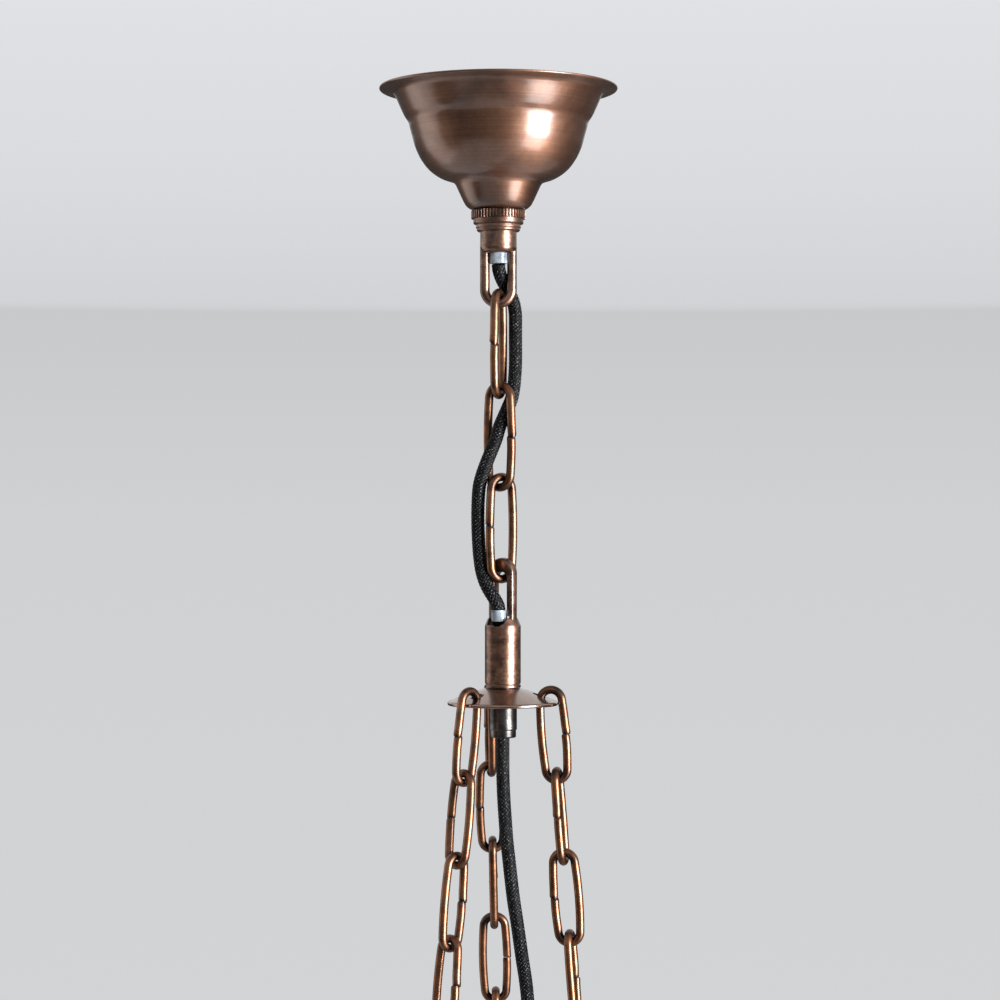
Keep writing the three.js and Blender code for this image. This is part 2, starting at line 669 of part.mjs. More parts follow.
// The stretch of flex inside the hanger and the bush
function hangerFlex() {
  const front = along(hangerYaw - 90);
  const route = [bushBottom + gap, bodyBottom - 8, bodyBottom + 6, threadTop].map((z) => [hangerX, 0, z]);
  for (const z of [(threadTop + shoulderTop) / 2, shoulderTop + flexEntryRise]) {
    const reach = (flexEntry * (z - passageBase)) / passageRun;
    route.push([hangerX + reach * front.x, reach * front.y, z]);
  }
  piece("flex_in_hanger", routed(route, flexRadius - insideSlack, 12, 10), braid);
}

function freeFlex() {
  piece("flex_upper", routed(upperRoute, flexRadius, 36, 8), braid);
  piece("flex_lower", routed(lowerRoute, flexRadius, 22, 8), braid);
}

function chainLegs() {
  const pitch = legLength - 4 * legWire - linkPlay;
  const seatHeight = discHeight(discHoleCircle + discHole) - legSeatDrop;
  for (const leg of legs) {
    const outward = along(leg.azimuth);
    const sideways = along(leg.azimuth + 90);
    const down = new THREE.Vector3(0, 0, -1).addScaledVector(outward, leg.splay);
    down.addScaledVector(sideways, leg.lean).normalize();
    const seat = new THREE.Vector3(hangerX, 0, seatHeight).addScaledVector(sideways, leg.aside);
    seat.addScaledVector(outward, discRadius - legSeatInset);
    const origin = (i) => seat.clone().addScaledVector(down, pitch * i);
    for (let i = 0; i < legLinks; i++) {
      const geometry = link(legWire, legLength, legWidth, legBend, legWire, leg.splits[i], 0.5, 6);
      const place = (mesh) => aim(mesh, origin(i), down, leg.yaws[i]);
      piece(`${leg.name}_leg_link_${i + 1}`, geometry, chainCopper, place);
    }
    const yaw = leg.yaws[legLinks - 1] + 90;
    piece(`${leg.name}_leg_hook`, hook(), chainCopper, (mesh) => aim(mesh, origin(legLinks), down, yaw));
  }
}

// An S-shaped hook in the XZ plane with a closed eye above and an open bend below
function hook() {
  const eye = legWire + linkPlay + hookWire - hookRing;
  const cup = eye - hookReach;
  const circle = (z, radius, angle) => {
    const { x, y } = along(angle).multiplyScalar(radius);
    return [x, 0, z + y];
  };
  const points = [];
  for (let angle = 232; angle >= -20; angle -= 36) points.push(circle(eye, hookRing, angle));
  points.push([0, 0, (eye - hookRing + cup + hookBend) / 2]);
  for (let angle = 168; angle <= 348; angle += 36) points.push(circle(cup, hookBend, angle));
  points.push([hookBend + hookTip, 0, cup + hookBend * 0.4]);
  return routed(points, hookWire, 20);
}

function lampholder() {
  const place = (mesh) => mesh.position.set(holderX, 0, 0);
  const neck = holderTop - capNeckHeight;
  const capBottom = holderTop - capHeight;
  const inside = holderRadius - holderWall;
  const neckBore = gripRadius + gap;
  const neckRadius = neckBore + holderWall;
  const profile = [[neckRadius, holderTop]];
  for (let angle = 0; angle <= 90; angle += 22.5) {
    const across = Math.sin(radians(angle)) * (holderRadius - neckRadius);
    profile.push([neckRadius + across, neck - capDomeHeight * (1 - Math.cos(radians(angle)))]);
  }
  profile.push([holderRadius, capBottom]);
  const cap = wallUnder(profile, holderWall, [neckBore, holderTop], [inside, capBottom]);
  piece("holder_cap", turned(cap), copper, place);

  const gripLow = holderTop - holderGripDepth;
  const gripHigh = holderTop + holderGripShow;
  piece("holder_cord_grip", turned([
    [gripBore, gripHigh], [gripRadius - edgeBreak, gripHigh], [gripRadius, gripHigh - edgeBreak],
    [gripRadius, gripLow], [gripBore, gripLow], [gripBore, gripHigh],
  ], 24), darkMetal, place);

  const insertTop = capBottom + insertInCap;
  const insertBottom = insertTop - insertHeight;
  const wireHoles = [-insertWireOffset, insertWireOffset].map((x) =>
    rod(insertWireHole, insertBottom - overshoot, insertTop + overshoot, 10).translate(x, 0, 0));
  const recessTop = insertBottom + contactRecess;
  const recess = block(contactWidth + 2 * gap, contactDepth + 2 * gap, insertBottom - overshoot, recessTop);
  const insert = shaped(rod(inside - gap, insertBottom, insertTop), [], [...wireHoles, recess]);
  piece("holder_insert", insert, porcelain, place);
  const contact = block(contactWidth, contactDepth, insertBottom - contactStandout, recessTop - gap);
  piece("centre_contact", contact, brass, place);

  const socketTop = insertBottom - gap;
  const socketLow = socketTop - socketHeight;
  piece("screw_socket", ringOf(socketRadius - socketWall, socketRadius, socketLow, socketTop), brass, place);

  const skirtTop = capBottom - gap;
  const skirtBottom = skirtTop - skirtHeight;
  const skirtMouth = socketRadius + gap;
  piece("holder_skirt", turned([
    [inside, skirtTop], [holderRadius, skirtTop], [holderRadius, skirtBottom],
    [skirtMouth + edgeBreak, skirtBottom], [skirtMouth, skirtBottom + edgeBreak],
    [skirtMouth, skirtBottom + skirtFloor], [inside, skirtBottom + skirtFloor], [inside, skirtTop],
  ]), copper, place);

  const ringHigh = skirtTop - shadeRingDrop;
  const ringLow = ringHigh - shadeRingHeight;
  const ringInner = holderRadius + gap;
  const flangeTop = ringLow + shadeRingFlange;
  piece("shade_ring", turned([
    [ringInner, ringHigh], [ringInner + shadeRingWall, ringHigh], [ringInner + shadeRingWall, flangeTop],
    [shadeRingRadius, flangeTop], [shadeRingRadius, ringLow], [ringInner, ringLow], [ringInner, ringHigh],
  ], 40), copper, place);
}

ceilingPieces();
terminalPieces();
coverPieces();
fittingPieces();
flexInlet();
upperChain();
hangerPieces();
discPieces();
hangerFlex();
freeFlex();
chainLegs();
lampholder();

export default suspension;
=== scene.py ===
# Upper suspension of a chandelier in antique copper: ceiling rose, link chain with a woven-in flex,
# slotted hanger, three chain legs with hooks, and the lampholder below.
# Sizes are in millimetres, and become metres when a mesh is made.
import json
import math

import bpy
import numpy as np
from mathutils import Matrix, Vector


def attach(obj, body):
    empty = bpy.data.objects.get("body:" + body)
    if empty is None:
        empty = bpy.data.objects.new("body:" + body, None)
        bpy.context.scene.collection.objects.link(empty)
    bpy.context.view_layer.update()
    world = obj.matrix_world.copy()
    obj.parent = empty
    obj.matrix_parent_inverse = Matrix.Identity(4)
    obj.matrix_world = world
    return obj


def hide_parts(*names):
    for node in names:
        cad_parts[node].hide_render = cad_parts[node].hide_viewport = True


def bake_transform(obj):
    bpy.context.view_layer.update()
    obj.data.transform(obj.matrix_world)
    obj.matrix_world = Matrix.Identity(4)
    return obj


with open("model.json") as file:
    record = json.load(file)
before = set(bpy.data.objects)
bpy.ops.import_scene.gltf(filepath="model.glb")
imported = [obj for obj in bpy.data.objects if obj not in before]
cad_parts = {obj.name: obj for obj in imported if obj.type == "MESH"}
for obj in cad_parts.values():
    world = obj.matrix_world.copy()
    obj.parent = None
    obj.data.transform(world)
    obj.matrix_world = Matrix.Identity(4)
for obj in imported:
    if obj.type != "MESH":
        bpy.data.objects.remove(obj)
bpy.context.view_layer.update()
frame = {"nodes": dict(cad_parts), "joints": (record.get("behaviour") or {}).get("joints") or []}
mm = 0.001
joints = {joint["name"]: joint for joint in frame["joints"]}
print("frame loaded:", len(frame["nodes"]), "nodes")


# Numbers, colours and shader nodes

def linearColour(hexText):
    # sRGB to linear light, one channel at a time
    channels = [int(hexText[i:i + 2], 16) / 255 for i in (0, 2, 4)]
    return [c / 12.92 if c <= 0.04045 else ((c + 0.055) / 1.055) ** 2.4 for c in channels] + [1.0]


def addNode(tree, kind, inputs=None, ramp=None, **settings):
    # one node with its settings; an input is another node's socket, a colour as text, or a plain value
    node = tree.nodes.new("ShaderNode" + kind)
    for name, value in settings.items():
        setattr(node, name, value)
    for name, value in (inputs or {}).items():
        if isinstance(value, bpy.types.NodeSocket):
            tree.links.new(value, node.inputs[name])
        else:
            node.inputs[name].default_value = linearColour(value) if isinstance(value, str) else value
    if ramp:
        elements = node.color_ramp.elements
        while len(elements) < len(ramp):
            elements.new(0.5)
        for element, (position, colour) in zip(elements, ramp):
            element.position = position
            element.color = linearColour(colour) if isinstance(colour, str) else [colour, colour, colour, 1]
    return node


def newMaterial(name):
    # a material and its empty node tree
    material = bpy.data.materials.new(name)
    material.use_nodes = True
    material.node_tree.nodes.clear()
    return material, material.node_tree


def addSurface(tree, inputs):
    # the shader with its inputs, linked to the material's output
    shader = addNode(tree, "BsdfPrincipled", inputs)
    addNode(tree, "OutputMaterial", {"Surface": shader.outputs["BSDF"]})


def objectPattern(tree, scale=(1, 1, 1)):
    # object coordinates in metres, stretched by scale
    coordinates = addNode(tree, "TexCoord").outputs["Object"]
    return addNode(tree, "Mapping", {"Vector": coordinates, "Scale": scale}).outputs["Vector"]


# Curves and profiles

def smoothRoute(points, steps=12):
    # centripetal spline: each span is a cubic through its ends, with slopes weighed by the roots of
    # the chords
    p = np.asarray(points, float)
    p = np.vstack([2 * p[0] - p[1], p, 2 * p[-1] - p[-2]])
    chord = np.sqrt(np.linalg.norm(np.diff(p, axis=0), axis=1))[:, None]
    a, b, c = chord[:-2], chord[1:-1], chord[2:]
    p0, p1, p2, p3 = p[:-3], p[1:-2], p[2:-1], p[3:]
    leave = ((p1 - p0) / a - (p2 - p0) / (a + b) + (p2 - p1) / b) * b
    arrive = ((p2 - p1) / b - (p3 - p1) / (b + c) + (p3 - p2) / c) * b
    t = np.linspace(0, 1, steps, endpoint=False)[None, :, None]
    spans = [v[:, None, :] for v in (p1, leave, p2, arrive)]
    curve = (spans[0] * (2 * t**3 - 3 * t**2 + 1) + spans[1] * (t**3 - 2 * t**2 + t)
             + spans[2] * (3 * t**2 - 2 * t**3) + spans[3] * (t**3 - t**2))
    return np.vstack([curve.reshape(-1, p.shape[1]), p[-2]])


def distances(points):
    # running length along a line of points
    return np.concatenate([[0], np.cumsum(np.linalg.norm(np.diff(points, axis=0), axis=1))])


def evenly(points, spacing):
    # the same line with points at equal distances
    along = distances(points)
    places = np.linspace(0, along[-1], max(2, int(round(along[-1] / spacing)) + 1))
    return np.stack([np.interp(places, along, points[:, k]) for k in range(points.shape[1])], axis=1)


def rounded(corners, radius, steps=4):
    # an outline of straight runs whose corners become arcs: a quadratic between two points at one radius
    # from each corner, with a helper point beyond each end that keeps the runs flat
    corners = [(c[0], c[1], c[2] if len(c) > 2 else radius) for c in corners]
    line = [corners[0][:2]]
    for before, corner, after in zip(corners, corners[1:], corners[2:]):
        p, q, r = (np.array(v[:2], float) for v in (before, corner, after))
        lengthIn, lengthOut = np.linalg.norm(p - q), np.linalg.norm(r - q)
        reach = min(corner[2], 0.45 * lengthIn, 0.45 * lengthOut)
        toIn, toOut = (p - q) / lengthIn, (r - q) / lengthOut
        start, end = q + toIn * reach, q + toOut * reach
        line.append(q + toIn * min(1.6 * reach, 0.49 * lengthIn))
        for t in np.linspace(0, 1, steps + 1):
            line.append((1 - t) ** 2 * start + 2 * t * (1 - t) * q + t * t * end)
        line.append(q + toOut * min(1.6 * reach, 0.49 * lengthOut))
    line.append(corners[-1][:2])
    return np.array([np.asarray(p, float) for p in line])


def offsetInward(profile, wall):
    # each point moves by the wall's thickness square to the profile, to the right of its direction
    run = np.gradient(profile, axis=0)
    run /= np.linalg.norm(run, axis=1)[:, None]
    return profile + wall * np.stack([run[:, 1], -run[:, 0]], axis=1)


# Surfaces

def gridPart(grid, around=True, closeRows=False, caps=(False, False)):
    # faces join each grid point to its neighbours; a capped row is closed by a fan to its middle
    rows, columns = grid.shape[:2]
    vertices = grid.reshape(-1, 3)
    index = np.arange(rows * columns).reshape(rows, columns)
    rowNext = np.roll(index, -1, axis=0) if closeRows else index[1:]
    rowHere = index if closeRows else index[:-1]
    if around:
        besideHere, besideNext = np.roll(rowHere, -1, axis=1), np.roll(rowNext, -1, axis=1)
        quads = np.stack([rowHere, besideHere, besideNext, rowNext], axis=-1)
    else:
        quads = np.stack([rowHere[:, :-1], rowHere[:, 1:], rowNext[:, 1:], rowNext[:, :-1]], axis=-1)
    fans = []
    for end, capped in zip((0, -1), caps):
        if capped:
            ring, middle = index[end], len(vertices)
            vertices = np.vstack([vertices, grid[end].mean(axis=0)])
            fan = np.stack([ring, np.roll(ring, -1), np.full(columns, middle)], axis=-1)
            fans.append(fan[:, ::-1] if end == 0 else fan)
    triangles = np.vstack(fans) if fans else np.zeros((0, 3), int)
    part = {"vertices": vertices, "quads": quads.reshape(-1, 4), "triangles": triangles}
    corners = np.vstack([part["quads"][:, [0, 1, 2]], part["quads"][:, [0, 2, 3]], triangles])
    a, b, c = (vertices[corners[:, k]] for k in range(3))
    if np.einsum("ij,ij->i", a, np.cross(b, c)).sum() < 0:
        part["quads"] = part["quads"][:, ::-1]
        part["triangles"] = triangles[:, ::-1]
    return part


def makePiece(name, parts, material, values=None, sharp=38):
    # the parts' arrays, end to end in one mesh; values become point attributes
    offset, vertices, faces = 0, [], []
    for part in parts:
        vertices.append(part["vertices"])
        faces += (part["quads"] + offset).tolist() + (part["triangles"] + offset).tolist()
        offset += len(part["vertices"])
    mesh = bpy.data.meshes.new(name)
    mesh.from_pydata((np.vstack(vertices) * mm).tolist(), [], faces)
    for label, numbers in (values or {}).items():
        attribute = mesh.attributes.new(label, "FLOAT", "POINT")
        attribute.data.foreach_set("value", np.asarray(numbers, np.float32))
    mesh.update()
    mesh.polygons.foreach_set("use_smooth", [True] * len(mesh.polygons))
    mesh.set_sharp_from_angle(angle=math.radians(sharp))
    piece = bpy.data.objects.new(name, mesh)
    bpy.context.scene.collection.objects.link(piece)
    mesh.materials.append(material)
    return piece


def lathe(profile, sides, centre=(0, 0), teeth=None):
    # radius and height turned about Z; teeth is a depth for each profile point times a wave round the axis
    angle = np.linspace(0, 2 * math.pi, sides, endpoint=False)
    radius = profile[:, 0][:, None] * np.ones(sides)
    if teeth is not None:
        radius = radius - teeth[0][:, None] * teeth[1](angle)
    height = profile[:, 1][:, None] * np.ones(sides)
    return np.stack([centre[0] + radius * np.cos(angle), centre[1] + radius * np.sin(angle), height], axis=-1)


def solidLathe(profile, sides, centre=(0, 0), teeth=None):
    # a closed profile, whose last point meets its first
    return gridPart(lathe(profile, sides, centre, teeth), closeRows=True)


def sweep(path, radius, sides, normal):
    # circles square to the path; the first direction of each is the given normal without its part
    # along the path
    tangent = np.gradient(path, axis=0)
    tangent /= np.linalg.norm(tangent, axis=1)[:, None]
    first = normal - (tangent @ normal)[:, None] * tangent
    first /= np.linalg.norm(first, axis=1)[:, None]
    second = np.cross(tangent, first)
    angle = np.linspace(0, 2 * math.pi, sides, endpoint=False)
    radius = np.asarray(radius, float)
    radius = np.broadcast_to(radius[:, None] if radius.ndim == 1 else radius, (len(path), sides))
    cosine, sine = np.cos(angle)[None, :, None], np.sin(angle)[None, :, None]
    circle = first[:, None, :] * cosine + second[:, None, :] * sine
    return path[:, None, :] + radius[:, :, None] * circle


def endTaper(path, radius, edge, least):
    # full radius along the path, easing to a share of it over the last edge millimetres at both ends
    along = distances(path)
    near = np.clip(np.minimum(along, along[-1] - along) / edge, 0, 1)
    return radius * (least + (1 - least) * np.sqrt(1 - (1 - near) ** 2))


def carve(piece, tools):
    # joins or cuts with each tool by an exact boolean, then keeps the result as the piece's own mesh
    for tool, operation in tools:
        modifier = piece.modifiers.new("carve", "BOOLEAN")
        modifier.object, modifier.operation, modifier.solver = tool, operation, "EXACT"
    result = bpy.data.meshes.new_from_object(piece.evaluated_get(bpy.context.evaluated_depsgraph_get()))
    result.materials.clear()
    result.materials.append(piece.data.materials[0])
    piece.modifiers.clear()
    piece.data = result
    result.polygons.foreach_set("material_index", [0] * len(result.polygons))
    result.polygons.foreach_set("use_smooth", [True] * len(result.polygons))
    result.set_sharp_from_angle(angle=math.radians(32))
    for tool, _ in tools:
        bpy.data.objects.remove(tool)
    return piece


def place(piece, body, slot, *nodes):
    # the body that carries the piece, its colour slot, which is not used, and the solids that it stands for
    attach(piece, body)
    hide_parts(*nodes)
    return piece


# Camera first: the photograph's distance, lens and height

view = {"lens": 99.6, "sensor": 36, "pixels": 1000, "distance": 1255, "height": -196.4,
        "axisPixel": 498.4, "horizonPixel": 521}


def setCamera():
    # level camera; the shift lowers the horizon, and a small sideways step puts the axis on its pixel
    data = bpy.data.cameras.new("camera")
    data.lens, data.sensor_width = view["lens"], view["sensor"]
    middle = view["pixels"] / 2
    data.shift_y = (view["horizonPixel"] - middle) / view["pixels"]
    camera = bpy.data.objects.new("camera", data)
    focal = view["lens"] / view["sensor"] * view["pixels"]
    sideways = (middle - view["axisPixel"]) / focal * view["distance"]
    camera.location = Vector((sideways, -view["distance"], view["height"])) * mm
    camera.rotation_euler = (math.pi / 2, 0, 0)
    bpy.context.scene.collection.objects.link(camera)
    bpy.context.scene.camera = camera


setCamera()


# Finishes

metal = {"ringShare": 0.3, "speckShare": 0.12, "speckScale": 900.0, "speckRelief": 0.5, "middleTone": 0.71,
         "reliefHeight": 0.0002, "lacquerIor": 1.7}


def layeredMetal(name, colours, lines, roughness, coat, patch=26, spread=0.28, ringDepth=0.10,
                 wearShadeName=None, streak=0, blur=0.2):
    # Metal under clear lacquer. The colours run from tarnished to rubbed; patches of tarnish are some patch
    # millimetres wide, and a small spread sets them off sharply from the rubbed metal; lines stretch a noise
    # into the fine rings of spinning or turning, or leave it even.
    # The rough metal blurs what it mirrors and tints it, and the smooth lacquer lays a sharper, untinted
    # reflection over it, softened by blur; streak is how far the rings draw the metal's own reflection out
    # across themselves, along the axis.
    # Real cutting rings are 0.1 mm apart; here they are about 0.4 mm so that they show. Specks are 1.1 mm.
    material, tree = newMaterial(name)
    fine = {"Detail": 3.0, "Roughness": 0.6}
    rings = addNode(tree, "TexNoise", {"Vector": objectPattern(tree, lines), "Scale": 1.0, **fine})
    clouds = addNode(tree, "TexNoise", {"Vector": objectPattern(tree, (1, 1, 1.4)), "Scale": 1000 / patch,
                                        "Detail": 6.0, "Roughness": 0.6, "Distortion": 0.3})
    specks = addNode(tree, "TexNoise", {"Vector": objectPattern(tree), "Scale": metal["speckScale"], **fine})
    ringed = addNode(tree, "Math", {0: rings.outputs["Fac"], 1: metal["ringShare"], 2: clouds.outputs["Fac"]},
                     operation="MULTIPLY_ADD")
    tone = addNode(tree, "Math", {0: specks.outputs["Fac"], 1: metal["speckShare"], 2: ringed.outputs[0]},
                   operation="MULTIPLY_ADD")
    # a point attribute adds to the tone: rubbed wear, and painted shade where links meet
    if wearShadeName:
        wearShade = addNode(tree, "Attribute", attribute_name=wearShadeName)
        tone = addNode(tree, "Math", {0: tone.outputs[0], 1: wearShade.outputs["Fac"]}, operation="ADD")
    share = addNode(tree, "MapRange", {"Value": tone.outputs[0], "From Min": metal["middleTone"] - spread,
                                       "From Max": metal["middleTone"] + spread}).outputs["Result"]
    colour = addNode(tree, "ValToRGB", {"Fac": share}, ramp=list(zip((0.0, 0.3, 0.55, 1.0), colours)))
    rough = addNode(tree, "MapRange", {"Value": share, "To Min": roughness[1], "To Max": roughness[0]})
    relief = addNode(tree, "Math", {0: specks.outputs["Fac"], 1: metal["speckRelief"],
                                    2: rings.outputs["Fac"]}, operation="MULTIPLY_ADD")
    bump = addNode(tree, "Bump", {"Height": relief.outputs[0], "Strength": ringDepth,
                                  "Distance": metal["reliefHeight"]})
    surface = {"Base Color": colour.outputs["Color"], "Roughness": rough.outputs["Result"],
               "Normal": bump.outputs["Normal"], "Metallic": 1.0, "Anisotropic": streak,
               "Coat Weight": coat, "Coat Roughness": blur, "Coat IOR": metal["lacquerIor"]}
    if streak:
        axis = addNode(tree, "CombineXYZ", {"Z": 1.0})
        drawn = addNode(tree, "VectorTransform", {"Vector": axis.outputs["Vector"]}, vector_type="VECTOR",
                        convert_from="OBJECT", convert_to="WORLD")
        surface["Tangent"] = drawn.outputs["Vector"]
    addSurface(tree, surface)
    return material


def cottonBraid(name):
    # Black cotton braid: matt yarns in two crossing sets; the colour has a painted highlight where the yarns
    # crown and is darkest in the dips between them. The fibres' noise is 0.7 mm wide, coarser than real
    # fibres so that it shows.
    material, tree = newMaterial(name)
    weave_highlight = addNode(tree, "Attribute", attribute_name="weave_highlight")
    fibres = addNode(tree, "TexNoise", {"Vector": objectPattern(tree), "Scale": 1400.0, "Detail": 3.0,
                                        "Roughness": 0.7})
    height = addNode(tree, "Math", {0: fibres.outputs["Fac"], 1: 0.9, 2: weave_highlight.outputs["Fac"]},
                     operation="MULTIPLY_ADD")
    share = addNode(tree, "MapRange", {"Value": height.outputs[0], "From Min": 0.6, "From Max": 1.6})
    # painted highlight: pale where the weave crowns, near black in its dips
    colour = addNode(tree, "ValToRGB", {"Fac": share.outputs["Result"]},
                     ramp=[(0.3, "000000"), (0.6, "040405"), (0.77, "131416"), (0.93, "86888c")])
    bump = addNode(tree, "Bump", {"Height": fibres.outputs["Fac"], "Strength": 0.5, "Distance": 0.0002})
    addSurface(tree, {"Base Color": colour.outputs["Color"], "Normal": bump.outputs["Normal"],
                      "Roughness": 0.6, "Specular IOR Level": 0.11, "Sheen Weight": 0.01,
                      "Sheen Roughness": 0.4, "Sheen Tint": "9a9ca0"})
    return material


def clearNylon(name):
    # Moulded translucent nylon of a cord grip: milky, faintly blue, with a soft gloss; its haze is 4 mm wide
    material, tree = newMaterial(name)
    haze = addNode(tree, "TexNoise", {"Vector": objectPattern(tree), "Scale": 260.0, "Detail": 3.0})
    colour = addNode(tree, "ValToRGB", {"Fac": haze.outputs["Fac"]},
                     ramp=[(0.35, "66727f"), (0.65, "b4bec9")])
    addSurface(tree, {"Base Color": colour.outputs["Color"], "Roughness": 0.22, "Transmission Weight": 0.3,
                      "IOR": 1.53})
    return material


def mouldedPlastic(name, colourDark, colourLight, roughness, grain=0.12):
    # Moulded polymer or glazed clay: an even colour with a mottle 8 mm wide, and a grain of 0.4 mm in
    # the gloss
    material, tree = newMaterial(name)
    mottle = addNode(tree, "TexNoise", {"Vector": objectPattern(tree), "Scale": 120.0, "Detail": 3.0})
    colour = addNode(tree, "ValToRGB", {"Fac": mottle.outputs["Fac"]},
                     ramp=[(0.35, colourDark), (0.65, colourLight)])
    fine = addNode(tree, "TexNoise", {"Vector": objectPattern(tree), "Scale": 2400.0, "Detail": 2.0})
    bump = addNode(tree, "Bump", {"Height": fine.outputs["Fac"], "Strength": grain, "Distance": 0.0001})
    addSurface(tree, {"Base Color": colour.outputs["Color"], "Normal": bump.outputs["Normal"],
                      "Roughness": roughness})
    return material


# how far the ring noise is stretched for each metre in X, Y and Z
even, spun, turned = (60, 60, 60), (9, 9, 2600), (20, 20, 3200)
finish = {
    "rose": layeredMetal("spun antique copper", ("38251c", "5f4030", "76523f", "946d57"), spun,
                         roughness=(0.50, 0.56), coat=1.0, patch=30, streak=0.5, blur=0.22),
    "turned": layeredMetal("turned antique copper", ("2a1a13", "4f3528", "6d4c3b", "9a7662"), turned,
                           roughness=(0.40, 0.48), coat=0.62, patch=6, spread=0.24, ringDepth=0.06,
                           streak=0.3, blur=0.26),
    "disc": layeredMetal("satin copper disc", ("5b4236", "7a5a4a", "8f6d5c", "a78573"), spun,
                         roughness=(0.16, 0.24), coat=1.0, patch=20, spread=0.3, ringDepth=0.03),
    "chain": layeredMetal("antiqued copper wire", ("160d08", "462a19", "6b442a", "91603e"), even,
                          roughness=(0.36, 0.45), coat=0.4, patch=9, spread=0.34, ringDepth=0.006,
                          wearShadeName="wear_and_shade", blur=0.25),
    "braid": cottonBraid("black cotton braid"),
    "nylon": clearNylon("clear nylon"),
    "bush": layeredMetal("blackened turned steel", ("1c1b1b", "32302f", "4c4a48", "787572"), turned,
                         roughness=(0.26, 0.38), coat=0.2, patch=8),
    "zinc": layeredMetal("zinc plated steel", ("7d8186", "a3a7ab", "b8bcbf", "cfd2d4"), even,
                         roughness=(0.28, 0.4), coat=0.0, patch=9),
    "brass": layeredMetal("turned brass", ("6f5222", "a4803f", "bb9650", "d0b06d"), turned,
                          roughness=(0.22, 0.34), coat=0.0, patch=9),
    "polyamide": mouldedPlastic("white polyamide", "dcdad2", "efeee8", 0.42),
    "porcelain": mouldedPlastic("glazed porcelain", "e6e1d4", "f4f1e8", 0.16, 0.03),
    "brown": mouldedPlastic("brown insulation", "4a2412", "6b381e", 0.36),
    "blue": mouldedPlastic("blue insulation", "16407e", "2a5fae", 0.36),
    "green": mouldedPlastic("green insulation", "2c6a2c", "c9c23a", 0.36),
}
print("finishes made:", len(finish))


# Flex: one route above and one below, as in the solids

flex = {
    "radius": 3.02, "yarns": 10, "pitch": 17.0, "relief": 0.3, "meanCrown": 0.8, "sides": 60,
    "rowSpacing": 0.42,
    "upper": [
        (0, 0, -80), (0.2, 0.5, -82.3), (1.3, 2.5, -85.8), (3.2, 5.1, -89.4), (5.2, 7.1, -92.9),
        (6.8, 7.8, -96.6), (7.7, 7.7, -101.5), (7.8, 6.9, -107.5), (7.8, 5.7, -113.5), (7.8, 4.1, -123.3),
        (7.5, 3.1, -130.1), (6.9, 2.4, -136), (5.9, 1.8, -141), (4.3, 1.1, -145), (2.3, 0.4, -149.6),
        (0.6, -0.3, -153.6), (-0.9, -1, -158.7), (-3, -1.7, -164.2), (-5.2, -1.9, -169.6),
        (-7.2, -1.6, -175.1), (-8.6, -1.1, -180.5), (-9.2, -0.5, -188), (-9.3, 0, -197), (-9, 0.1, -205),
        (-8.5, 0, -212), (-7.5, -0.2, -219), (-6, -1.5, -224), (-4, -2.9, -228), (-1.8, -3.5, -231.5),
        (-0.1, -3, -235), (0.15, -2.45, -237.6),
    ],
    "lower": [
        (2, 0, -294.3), (2, 0, -304), (2.1, 0, -313.9), (2.5, 0, -323), (3.1, 0, -332.1), (3.8, 0, -341.2),
        (4.8, 0, -350.2), (5.8, 0, -359.3), (6.9, 0, -368.4), (8.3, 0, -377.5), (9.6, 0, -386.5),
        (10.9, 0, -395.6), (12.3, 0, -404.7), (13.2, 0, -413), (13.7, 0, -424), (13.3, 0, -436),
        (12.1, 0, -448), (10.4, 0, -460), (8.7, 0, -472), (7.4, 0, -484), (6.9, 0, -494), (6.8, 0, -499),
        (6.8, 0, -509),
    ],
}


def braidRelief(angle, along):
    # two families of helices cross; each rises over the other in turn, and the higher one shows
    turn = 2 * math.pi * along / flex["pitch"]
    right = flex["yarns"] * angle + flex["yarns"] * turn
    left = flex["yarns"] * angle - flex["yarns"] * turn
    over = np.sign(np.cos(right / 2) * np.cos(left / 2))
    rightYarn = np.abs(np.cos(right / 2)) * (0.75 + 0.25 * over)
    leftYarn = np.abs(np.cos(left / 2)) * (0.75 - 0.25 * over)
    return np.maximum(rightYarn, leftYarn)


def flexStretch(name, path, start):
    # a tube along the path whose radius rises with the braid; start keeps the pattern running on from
    # the last stretch
    angle = np.linspace(0, 2 * math.pi, flex["sides"], endpoint=False)[None, :]
    along = (distances(path) + start)[:, None]
    crown = braidRelief(angle, along)
    radius = flex["radius"] + flex["relief"] * (crown - flex["meanCrown"])
    grid = sweep(path, radius, flex["sides"], np.array([0.0, 1.0, 0.0]))
    part = gridPart(grid, caps=(True, True))
    # the crowns' heights go to the material, which paints a highlight on them
    weave_highlight = np.concatenate([crown.ravel(), [0.5, 0.5]])
    piece = makePiece(name, [part], finish["braid"], {"weave_highlight": weave_highlight}, sharp=80)
    return piece


def cutRoute(path, heights):
    # the path in stretches, cut where it first passes each height
    cuts = [0] + [int(np.argmax(path[:, 2] < h)) for h in heights] + [len(path) - 1]
    return [path[a:b + 1] for a, b in zip(cuts, cuts[1:])]


def upperFlex():
    # four stretches of about equal length, cut where the route passes the heights of its quarters, with the
    # braid's pattern running on
    route = evenly(smoothRoute(flex["upper"]), flex["rowSpacing"])
    quarters = evenly(route, distances(route)[-1] / 4)
    stretches = cutRoute(route, quarters[1:4, 2])
    start = 0
    for i, path in enumerate(stretches):
        piece = flexStretch(f"flex_upper_{i + 1}", path, start)
        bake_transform(piece)
        length = distances(path)[-1]
        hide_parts("flex_upper")
        start += length


def lowerFlex():
    # one stretch on the lampholder's body, which swings about the point where the flex leaves its bush
    route = evenly(smoothRoute(flex["lower"]), flex["rowSpacing"])
    piece = flexStretch("flex_lower_braid", route, 0)
    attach(piece, "lampholder")
    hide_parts("flex_lower")


upperFlex()
lowerFlex()
print("flex made")


# Ceiling rose and lock ring

